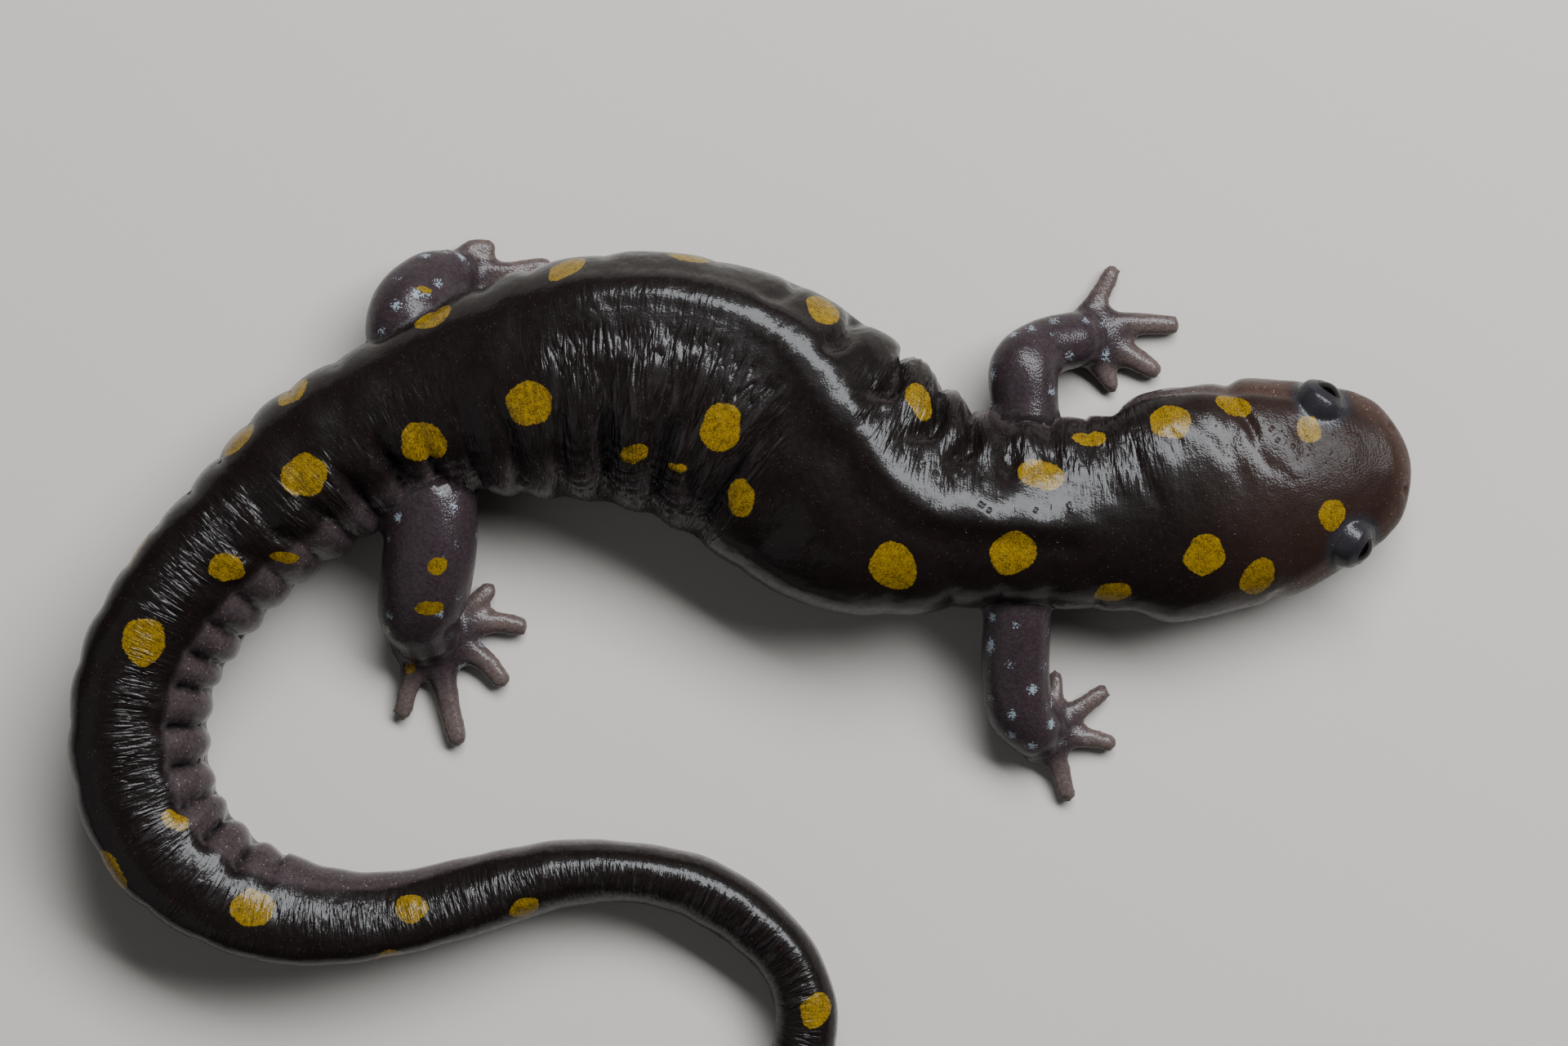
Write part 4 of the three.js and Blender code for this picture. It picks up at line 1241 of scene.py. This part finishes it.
    def _lie(self, points: Array, places: Places, limb: Array) -> tuple[Array, Array]:
        """How the fine folds lie.

        Args:
            points: Corners of the skin.
            places: Their places on the body.
            limb: 1 on the limbs and 0 on the body.

        Returns:
            For each corner the way along and round its body or limb, in millimetres, and how far
            out it is on a digit. The folds crowd along the tail, and each limb has its own stretch
            of the pattern.
        """
        arc = np.radians((places.angle - 270.0) % 360.0 - 180.0) * places.radius
        run = places.distance + 0.3 * np.maximum(places.distance - 95.0, 0.0)
        lie = np.stack([run, arc, np.zeros_like(arc)], axis=1)
        toe = np.zeros(len(points))
        nearest = np.full(len(points), FAR)
        indices = np.flatnonzero(limb > 0.02)
        rows = np.arange(len(indices))
        for number, form in enumerate(LIMBS):
            for order, line in enumerate((form.bones, *form.digits)):
                middle, ahead, width = smooth_line(line, 24)
                gaps = points[indices][:, None] - middle
                reach = np.linalg.norm(gaps, axis=2)
                found = reach.argmin(axis=1)
                gap = reach[rows, found] - width[found]
                steps = np.linalg.norm(np.diff(middle, axis=0), axis=1)
                run = np.concatenate([[0.0], np.cumsum(steps)])
                offset = gaps[rows, found]
                past = (offset * ahead[found]).sum(axis=1)
                level = np.cross([0.0, 0.0, 1.0], ahead[found])
                turn = np.arctan2(offset[:, 2], (offset * level).sum(axis=1))
                start = self.limb_pattern_start + self.limb_pattern_step * number
                here = np.stack([run[found] + past + start, turn * width[found],
                                 np.zeros(len(found))], axis=1)
                closer = gap < nearest[indices]
                chosen = indices[closer]
                nearest[chosen] = gap[closer]
                lie[chosen] = np.where(limb[chosen, None] > 0.5, here[closer], lie[chosen])
                out = smoothstep(run[found] / run[-1], 0.15, 0.75)[closer]
                toe[chosen] = out if order else 0.0
        return lie, toe

    def _spot_depth(self, points: Array, hold: Array) -> Array:
        """How deep corners are inside a yellow spot.

        Args:
            points: Corners of the skin.
            hold: 1 on the body and 0 on the limbs.

        Returns:
            Millimetres inside the nearest spot's edge, and less than 0 outside.
        """
        deep = np.full(len(points), -3.0)
        limb = 1.0 - hold
        x_way, y_way = np.array([1.0, 0.0, 0.0]), np.array([0.0, 1.0, 0.0])
        frames = [(mark, *mark.frame(), seed, limb) for seed, mark in enumerate(SPOTS)]
        for seed, mark in enumerate(LIMB_SPOTS):
            flat = np.hypot(points[:, 0] - mark.x, points[:, 1] - mark.y)
            top = points[np.where(flat < 0.5, points[:, 2], -1.0).argmax()]
            frames.append((mark, top, x_way, y_way, seed + self.limb_spot_seed, hold))
        for mark, middle, way, round_it, seed, barred in frames:
            near = np.linalg.norm(points - middle, axis=1) < mark.long + 1.5
            inside = inside_spot(points[near], middle, way, round_it, mark, seed)
            deep[near] = np.maximum(deep[near], inside - 2.0 * barred[near])
        return deep

    def _zones(self, points: Array, places: Places, past_edge: Array) -> tuple[Array, Array]:
        """Where the skin is pale and where it is a lid.

        Args:
            points: Corners of the skin.
            places: Their places on the body.
            past_edge: Degrees past the edge of the dark back.

        Returns:
            Shares of flank and lip, and of lid.
        """
        soft = 4.0 + 10.0 * between(places.distance, 30, 90, 10)
        flank = smoothstep(past_edge / soft, -1.0, 1.0)
        lip = 1.0 - smoothstep(places.at - 1.2 - 0.1 * places.aside**2, -1.0, 1.4)
        pale = np.maximum(flank, lip)
        lid = np.zeros(len(points))
        for hand in Hand:
            centre, _ = EYES.axes(hand)
            off_eye = smoothstep(np.linalg.norm(points - centre, axis=1), 2.3, 3.2)
            pale *= off_eye
            lid = np.maximum(lid, 1.0 - off_eye)
        return pale, lid

    def _wrinkle(self, places: Places, past_edge: Array, hold: Array) -> Array:
        """How strong the fine folds are: most on the inside of each bend, and along the tail.

        Args:
            places: Places of the corners on the body.
            past_edge: Degrees past the edge of the dark back.
            hold: 1 on the body and 0 on the limbs.

        Returns:
            Shares of the full folds.
        """
        at, off_crest = places.at, FOLDS.off_crest(places)
        inside = -BODY.bend_to_left(places.distance) * off_crest
        on_tail = smoothstep(at, 92, 104)
        wrinkle = smoothstep(inside, 0.01 - 0.1 * on_tail, 0.09 - 0.07 * on_tail)
        wrinkle *= 1.0 - 0.6 * between(at, 78, 90, 6)
        wrinkle *= 1.0 - 0.85 * on_tail * (1.0 - bump(off_crest + 0.3, 2.0))
        wrinkle *= smoothstep(at, 12.0, 26.0) * (1.0 - 0.45 * between(at, 20, 48, 6))
        outside = places.on_left * between(at, 46, 68, 6)
        least = 0.07 + 0.17 * smoothstep(at, 126, 142) + 0.2 * outside
        tail_lobe = smoothstep(past_edge / 6.0, -1.0, 1.0) * smoothstep(at, 90, 100)
        return np.maximum(wrinkle, least) * hold * (1.0 - 0.75 * tail_lobe)

    def _groove_shade(self, places: Places) -> Array:
        """How much painted shade darkens the bottoms of the grooves, on the crowded side."""
        along = smoothstep(places.distance, 24, 30) * (1.0 - smoothstep(places.distance, 139, 144))
        dark = FOLDS.groove_share(places.distance, 0.6) * along
        dark *= smoothstep(places.off_back, 30, 50)
        return dark * smoothstep(FOLDS.crowded(places), 0.0, 0.4)

    def _pore_offset(self, points: Array, places: Places) -> Array:
        """The way from the nearest pore, seen from above, and far off on the underside."""
        gaps = points[:, None, :2] - np.array(PORES)
        nearest = np.linalg.norm(gaps, axis=2).argmin(axis=1)
        under = np.where(places.rise > 0.0, 0.0, FAR)
        return np.column_stack([gaps[np.arange(len(points)), nearest], under])

    def dress(self) -> None:
        """Gives the skin its finish and its place in the frame."""
        pick(self.piece)
        bpy.ops.object.shade_smooth()
        self.piece.data.transform(Matrix.Scale(MILLIMETRE, 4))
        self.piece.data.materials.clear()
        self.piece.data.materials.append(WetSkin().material())
        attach(self.piece, "root")
        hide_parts(*[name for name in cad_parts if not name.startswith("eye")])


# ---- Eyes ----


@dataclass
class Eye:
    """One clear, wet black eye."""

    hand: Hand
    piece: bpy.types.Object = field(init=False)

    def build(self) -> None:
        """Shapes a ball that bulges along the gaze."""
        centre, rows = EYES.axes(self.hand)
        clear_selection()
        bpy.ops.mesh.primitive_uv_sphere_add(segments=64, ring_count=40, radius=EYES.radius)
        self.piece = bpy.context.object
        self.piece.name = self.piece.data.name = f"wet_eye_{self.hand.name.lower()}"
        ball = corners_of(self.piece)
        ball = ball[:, [0, 2, 1]] * np.array([1.0, 1.0, -1.0])
        ahead = np.maximum(ball[:, 1] / EYES.radius, 0.0)
        keep_values(self.piece, "gaze", ahead)
        ball[:, 1] += (EYES.bulge - EYES.radius) * ahead**3
        set_corners(self.piece, centre + ball @ rows)

    def dress(self) -> None:
        """Gives the eye its finish and its place in the frame."""
        pick(self.piece)
        bpy.ops.object.shade_smooth()
        self.piece.data.transform(Matrix.Scale(MILLIMETRE, 4))
        self.piece.data.materials.clear()
        self.piece.data.materials.append(ClearEye().material())
        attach(self.piece, "root")
        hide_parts(f"eye_{self.hand.name.lower()}")


# ---- Finishes ----


def linear(colour: str) -> tuple[float, float, float, float]:
    """Turns an sRGB hex colour to linear light.

    Args:
        colour: The colour, such as "#2b2422".

    Returns:
        Red, green, blue and 1.
    """
    parts = [int(colour[i:i + 2], 16) / 255.0 for i in (1, 3, 5)]
    flat = [p / 12.92 if p <= 0.04045 else ((p + 0.055) / 1.055) ** 2.4 for p in parts]
    return (*flat, 1.0)


Socket = bpy.types.NodeSocket
Value = Socket | float | tuple[float, ...]


@dataclass(frozen=True)
class Board:
    """The nodes of one material."""

    material: bpy.types.Material

    def add(self, kind: str, sockets: dict | None = None, output: int | str = 0,
            **settings: object) -> Socket:
        """Adds a node with its settings, values and links.

        Args:
            kind: Blender's name for the node, without its "ShaderNode".
            sockets: For each input, by name or number, its value or the output it is linked to.
            output: Name or number of the output that is wanted.
            **settings: The node's own settings.

        Returns:
            That output.
        """
        tree = self.material.node_tree
        node = tree.nodes.new("ShaderNode" + kind)
        for name, value in settings.items():
            setattr(node, name, value)
        for name, value in (sockets or {}).items():
            if isinstance(value, Socket):
                tree.links.new(value, node.inputs[name])
            else:
                node.inputs[name].default_value = value
        return node.outputs[output] if len(node.outputs) else None

    def place(self) -> Socket:
        """The place on the piece, in millimetres."""
        place = self.add("TexCoord", output="Object")
        return self.add("Mapping", {"Vector": place, "Scale": (1.0 / MILLIMETRE,) * 3})

    def held(self, name: str, output: str = "Fac") -> Socket:
        """What the mesh keeps at its corners under a name."""
        return self.add("Attribute", output=output, attribute_name=name)

    def noise(self, place: Socket, scale: float, detail: float) -> Socket:
        """Uneven cloud from about 0 to 1, with so many swells to the millimetre."""
        return self.add("TexNoise", {"Vector": place, "Scale": scale, "Detail": detail}, "Fac")

    def cells(self, place: Socket, scale: float, output: str = "Distance",
              **settings: object) -> Socket:
        """Uneven cells, with so many to the millimetre."""
        return self.add("TexVoronoi", {"Vector": place, "Scale": scale}, output, **settings)

    def math(self, operation: str, *values: Value, **settings: object) -> Socket:
        """One step of arithmetic."""
        return self.add("Math", dict(enumerate(values)), operation=operation, **settings)

    def span(self, value: Socket, low: float, high: float, to_low: float = 0.0,
             to_high: float = 1.0, **settings: object) -> Socket:
        """Brings a value from one span to another and keeps it inside that.

        Args:
            value: The value.
            low: Where it starts.
            high: Where it ends, which may be lower.
            to_low: What its start becomes.
            to_high: What its end becomes.
            **settings: The node's own settings.

        Returns:
            The new value.
        """
        sockets = {"Value": value, "From Min": low, "From Max": high, "To Min": to_low,
                   "To Max": to_high}
        return self.add("MapRange", sockets, **settings)

    def mix(self, share: Socket, one: Value, other: Value) -> Socket:
        """A colour that goes from one to the other as the share rises to 1."""
        return self.add("Mix", {0: share, 6: one, 7: other}, 2, data_type="RGBA")


def empty_board(name: str) -> Board:
    """A new material without nodes.

    Args:
        name: What the real surface is.

    Returns:
        Its board.
    """
    material = bpy.data.materials.new(name)
    material.use_nodes = True
    material.node_tree.nodes.clear()
    return Board(material)


@dataclass(frozen=True)
class WetSkin:
    """Wet amphibian skin: smooth moist hide under a film of water, black with yellow spots.

    The water film gives sharp highlights over the near-black hide, and the fine folds of the hide
    break them into streaks that run round the body. The moist hide under the film gives a wider,
    softer gloss. Counts of grain are for each millimetre.
    """

    dorsum: str = "#0d0807"
    dorsum_light: str = "#110b09"
    head: str = "#231713"
    # Painted sheen: a paler grey that lightens the tops of the fine folds, standing in for their
    # glints.
    fold_crest_sheen: str = "#322d2e"
    # The lids' own bluish black, lightened as a painted sheen that stands in for their broad soft
    # highlight.
    lid_with_sheen: str = "#1f1f23"
    flank: str = "#372e2f"
    cheek: str = "#392a24"
    limb: str = "#2d2427"
    toe: str = "#554944"
    fleck: str = "#78838a"
    freckle: str = "#756152"
    # Painted shade: near black laid into the bottoms of the grooves on the crowded side.
    crease: str = "#050404"
    yellow: str = "#6b5202"
    yellow_light: str = "#82670a"
    stipple: str = "#332604"
    hide_gloss: float = 0.12
    hide_index: float = 1.38
    hide_roughness: tuple[float, float] = (0.36, 0.5)
    film_roughness: float = 0.14
    film_index: float = 1.27

    def material(self) -> bpy.types.Material:
        """Builds the material's nodes."""
        board = empty_board("wet_spotted_skin")
        place = board.place()
        folds = self._folds(board)
        hide, gold = self._hide(board, place, folds), self._gold(board, place)
        relief = self._relief(board, place, folds)
        rough = board.span(board.noise(place, 2.2, 2.0), 0.3, 0.7, *self.hide_roughness)
        shader = board.add("BsdfPrincipled", {
            "Base Color": board.mix(self._on_spot(board, place), hide, gold),
            "Roughness": rough, "Normal": relief, "Coat Normal": relief,
            "Specular IOR Level": self.hide_gloss, "IOR": self.hide_index,
            "Coat Weight": board.held("film"), "Coat Roughness": self.film_roughness,
            "Coat IOR": self.film_index,
        })
        board.add("OutputMaterial", {0: shader})
        return board.material

    def _on_spot(self, board: Board, place: Socket) -> Socket:
        """Whether a place is on a yellow spot, with a fine uneven edge."""
        fray = board.span(board.noise(place, 3.5, 3.0), 0.3, 0.7, -0.07, 0.07)
        edge = board.math("ADD", board.held("spot"), fray)
        return board.span(edge, -0.04, 0.05, interpolation_type="SMOOTHSTEP")

    def _gold(self, board: Board, place: Socket) -> Socket:
        """Golden yellow, with dark stipple where the hide shows between its grains."""
        gold = board.mix(board.noise(place, 0.9, 3.0), linear(self.yellow),
                         linear(self.yellow_light))
        sway = board.add("TexNoise", {"Vector": place, "Scale": 3.0, "Detail": 2.0}, "Color")
        swayed = board.add("VectorMath", {0: sway, 1: (0.6, 0.6, 0.6), 2: place},
                           operation="MULTIPLY_ADD")
        # The real grains are about half this size, too fine to show.
        grains = board.cells(swayed, 5.4, feature="DISTANCE_TO_EDGE")
        patchy = board.span(board.noise(place, 2.0, 2.0), 0.3, 0.7, -0.07, 0.07)
        dark = board.span(board.math("ADD", grains, patchy), 0.21, 0.0, 0.0, 0.9)
        return board.mix(dark, gold, linear(self.stipple))

    def _hide(self, board: Board, place: Socket, folds: Socket) -> Socket:
        """Near-black back, browner head, paler flanks, limbs and toes, with painted sheen on the
        fold tops and lids and painted shade in the creases.
        """
        share = board.span(board.noise(place, 0.9, 6.0), 0.35, 0.7)
        hide = board.mix(share, linear(self.dorsum), linear(self.dorsum_light))
        # Painted sheen: the tops of the fine folds are lightened towards a paler grey.
        hide = board.mix(board.span(folds, 0.05, 0.12, 0.0, 0.3), hide, linear(self.fold_crest_sheen))
        warm, pale, limb, toe = (board.held(name) for name in ("warm", "pale", "limb", "toe"))
        # On the lids this mixes in their bluish black, lightened as a painted sheen.
        for zone, colour in ((warm, self.head), (board.held("lid"), self.lid_with_sheen)):
            hide = board.mix(board.math("MULTIPLY", zone, 0.8), hide, linear(colour))
        dust = board.span(board.noise(place, 3.4, 2.0), 0.33, 0.66, 0.55)
        side = board.mix(warm, linear(self.flank), linear(self.cheek))
        for zone, colour, most in ((pale, side, 1.0), (limb, linear(self.limb), 1.0),
                                   (toe, linear(self.toe), 0.8)):
            share = board.math("MULTIPLY", board.math("MULTIPLY", zone, most), dust)
            hide = board.mix(share, hide, colour)
        hide = self._flecks(board, place, 0.62, 0.24, 0.56, hide, self.fleck,
                            board.math("SUBTRACT", limb, toe))
        hide = self._flecks(board, place, 2.9, 0.15, 0.32, hide, self.freckle,
                            board.math("ADD", pale, 0.14))
        # Painted shade at the bottoms of the grooves.
        crease = board.span(board.held("crease"), 0.3, 0.8)
        return board.mix(crease, hide, linear(self.crease))

    def _flecks(self, board: Board, place: Socket, count: float, size: float, few: float,
                hide: Socket, colour: str, zone: Socket) -> Socket:
        """Strews small ragged flecks over the hide.

        Args:
            board: Board of the material.
            place: Place on the skin.
            count: Cells to the millimetre, with one fleck in each at most.
            size: How far a fleck goes out from the middle of its cell, as a share of the cell.
            few: Share of the cells that have none.
            hide: Colour that they lie on.
            colour: Their own colour.
            zone: How strong they are at each place.

        Returns:
            The new colour.
        """
        chance = board.add("SeparateColor", {0: board.cells(place, count, "Color")})
        ragged = board.math("MULTIPLY_ADD", board.noise(place, 6.0, 3.0), size * 4.4, -size * 2.2)
        off = board.math("ADD", board.cells(place, count), ragged)
        dot = board.math("MULTIPLY", board.span(off, size, size * 0.7, 0.0, 0.8),
                        board.math("GREATER_THAN", chance, few))
        dot = board.math("MULTIPLY", dot, zone, use_clamp=True)
        return board.mix(dot, hide, linear(colour))

    def _folds(self, board: Board) -> Socket:
        """Height of the fine folds across the body, in millimetres: 0 in their creases."""
        lie, height = board.held("lie", "Vector"), 0.0
        for stretch, depth in (((0.95, 0.24, 1.0), 0.26), ((2.3, 0.48, 1.0), 0.13)):
            spread = board.add("Mapping", {"Vector": lie, "Scale": stretch})
            folds = board.add("TexNoise", {"Vector": spread, "Scale": 1.0, "Detail": 1.5,
                                           "Roughness": 0.5, "Distortion": 0.5}, "Fac")
            folds = board.math("ABSOLUTE", board.math("SUBTRACT", folds, 0.5))
            folds = board.math("MINIMUM", folds, 0.2)
            height = board.math("MULTIPLY_ADD", folds, depth * 2.0, height)
        return board.math("MULTIPLY", height, board.held("wrinkle"))

    def _relief(self, board: Board, place: Socket, folds: Socket) -> Socket:
        """Folds across the body, pebbles, uneven swells, warts on the head, and pores."""
        warm = board.held("warm")
        rough = board.span(board.held("limb"), 0.0, 1.0, -0.008, -0.022)
        rough = board.math("MULTIPLY_ADD", warm, -0.008, rough)
        # The real pebbles are about half this size, too fine to show.
        height = board.math("MULTIPLY_ADD", board.cells(place, 5.6), rough, folds)
        for scale, depth in ((0.32, 0.16), (1.3, 0.014)):
            height = board.math("MULTIPLY_ADD", board.noise(place, scale, 2.0), depth, height)
        warts = board.span(board.cells(place, 1.15), 0.13, 0.03, 0.0, 0.05,
                           interpolation_type="SMOOTHSTEP")
        height = board.math("MULTIPLY_ADD", warts, warm, height)
        pore = board.add("VectorMath", {0: board.held("pore", "Vector")}, "Value",
                         operation="LENGTH")
        for far, depth in ((0.3, 0.025), (0.16, -0.06)):
            ring = board.span(pore, far, far * 0.45, 0.0, depth, interpolation_type="SMOOTHSTEP")
            height = board.math("ADD", ring, height)
        return board.add("Bump", {"Strength": 1.0, "Distance": MILLIMETRE, "Height": height})


@dataclass(frozen=True)
class ClearEye:
    """A clear, wet cornea over a black pupil and a very dark iris.

    The cornea is smooth and always wet, so it gives one small sharp highlight over black.
    """

    pupil: str = "#020202"
    iris: str = "#140e0b"
    iris_roughness: float = 0.3
    cornea_index: float = 1.376
    film_roughness: float = 0.02
    film_index: float = 1.24

    def material(self) -> bpy.types.Material:
        """Builds the material's nodes."""
        board = empty_board("clear_wet_cornea")
        ring = board.span(board.held("gaze"), 0.9, 0.8)
        share = board.math("MULTIPLY", ring, board.noise(board.place(), 2.5, 3.0))
        shader = board.add("BsdfPrincipled", {
            "Base Color": board.mix(share, linear(self.pupil), linear(self.iris)),
            "Roughness": self.iris_roughness, "Specular IOR Level": 0.0,
            "IOR": self.cornea_index, "Coat Weight": 1.0,
            "Coat Roughness": self.film_roughness, "Coat IOR": self.film_index,
        })
        board.add("OutputMaterial", {0: shader})
        return board.material


# ---- Floor, light and camera ----


@dataclass(frozen=True)
class SoftLight:
    """A large soft light that faces the animal, with its place and size in millimetres."""

    name: str
    at: tuple[float, float, float]
    size: tuple[float, float]
    watts: float
    colour: tuple[float, float, float] = (0.92, 0.955, 1.0)

    def build(self) -> None:
        """Adds the light to the scene."""
        data = bpy.data.lights.new(self.name, "AREA")
        data.shape = "RECTANGLE"
        data.size, data.size_y = self.size[0] * MILLIMETRE, self.size[1] * MILLIMETRE
        data.energy = self.watts
        data.color = self.colour
        light = bpy.data.objects.new(self.name, data)
        bpy.context.scene.collection.objects.link(light)
        light.location = Vector(self.at) * MILLIMETRE
        light.rotation_euler = (-Vector(self.at)).to_track_quat("-Z", "Y").to_euler()


@dataclass(frozen=True)
class Studio:
    """A plain pale floor, soft light from overhead and a camera straight above the animal."""

    floor_size: float = 900.0
    floor_colour: str = "#aaa59e"
    floor_roughness: float = 0.85
    floor_gap: float = 0.02
    lights: tuple[SoftLight, ...] = (
        SoftLight("softbox", (220.0, 335.0, 460.0), (680.0, 240.0), 12.0),
        SoftLight("fill", (-420.0, -260.0, 400.0), (700.0, 700.0), 0.7),
    )
    room_light: float = 0.055
    camera_at: tuple[float, float, float] = (3.533, 15.167, 399.0)
    lens: float = 110.0
    sensor_width: float = 36.0
    nearest_seen: float = 10.0

    def build(self) -> None:
        """Sets floor, lights and camera."""
        self._floor()
        for light in self.lights:
            light.build()
        world = bpy.data.worlds.new("soft_room")
        bpy.context.scene.world = world
        world.use_nodes = True
        background = world.node_tree.nodes["Background"]
        background.inputs["Color"].default_value = (1.0, 1.0, 1.0, 1.0)
        background.inputs["Strength"].default_value = self.room_light
        self._camera()

    def _floor(self) -> None:
        """Adds the floor just under the animal: a matt painted board, which shows its shadow."""
        clear_selection()
        bpy.ops.mesh.primitive_plane_add(size=self.floor_size * MILLIMETRE,
                                         location=(0.0, 0.0, -self.floor_gap * MILLIMETRE))
        floor = bpy.context.object
        floor.name = "floor"
        material = bpy.data.materials.new("plain_pale_floor")
        material.use_nodes = True
        shader = material.node_tree.nodes["Principled BSDF"]
        shader.inputs["Base Color"].default_value = linear(self.floor_colour)
        shader.inputs["Roughness"].default_value = self.floor_roughness
        floor.data.materials.append(material)

    def _camera(self) -> None:
        """Adds the camera, looking straight down."""
        data = bpy.data.cameras.new("camera")
        data.lens = self.lens
        data.sensor_width = self.sensor_width
        data.clip_start = self.nearest_seen * MILLIMETRE
        camera = bpy.data.objects.new("camera", data)
        bpy.context.scene.collection.objects.link(camera)
        camera.location = Vector(self.camera_at) * MILLIMETRE
        bpy.context.scene.camera = camera


def main() -> None:
    """Builds and dresses every piece in order."""
    logging.basicConfig(level=logging.INFO, format="%(message)s")
    skin = Skin()
    skin.build()
    skin.dress()
    log.info("skin dressed")
    for hand in Hand:
        eye = Eye(hand)
        eye.build()
        eye.dress()
        log.info("eye %s dressed", hand.name.lower())
    Studio().build()
    log.info("studio set")


if __name__ == "__main__":
    main()
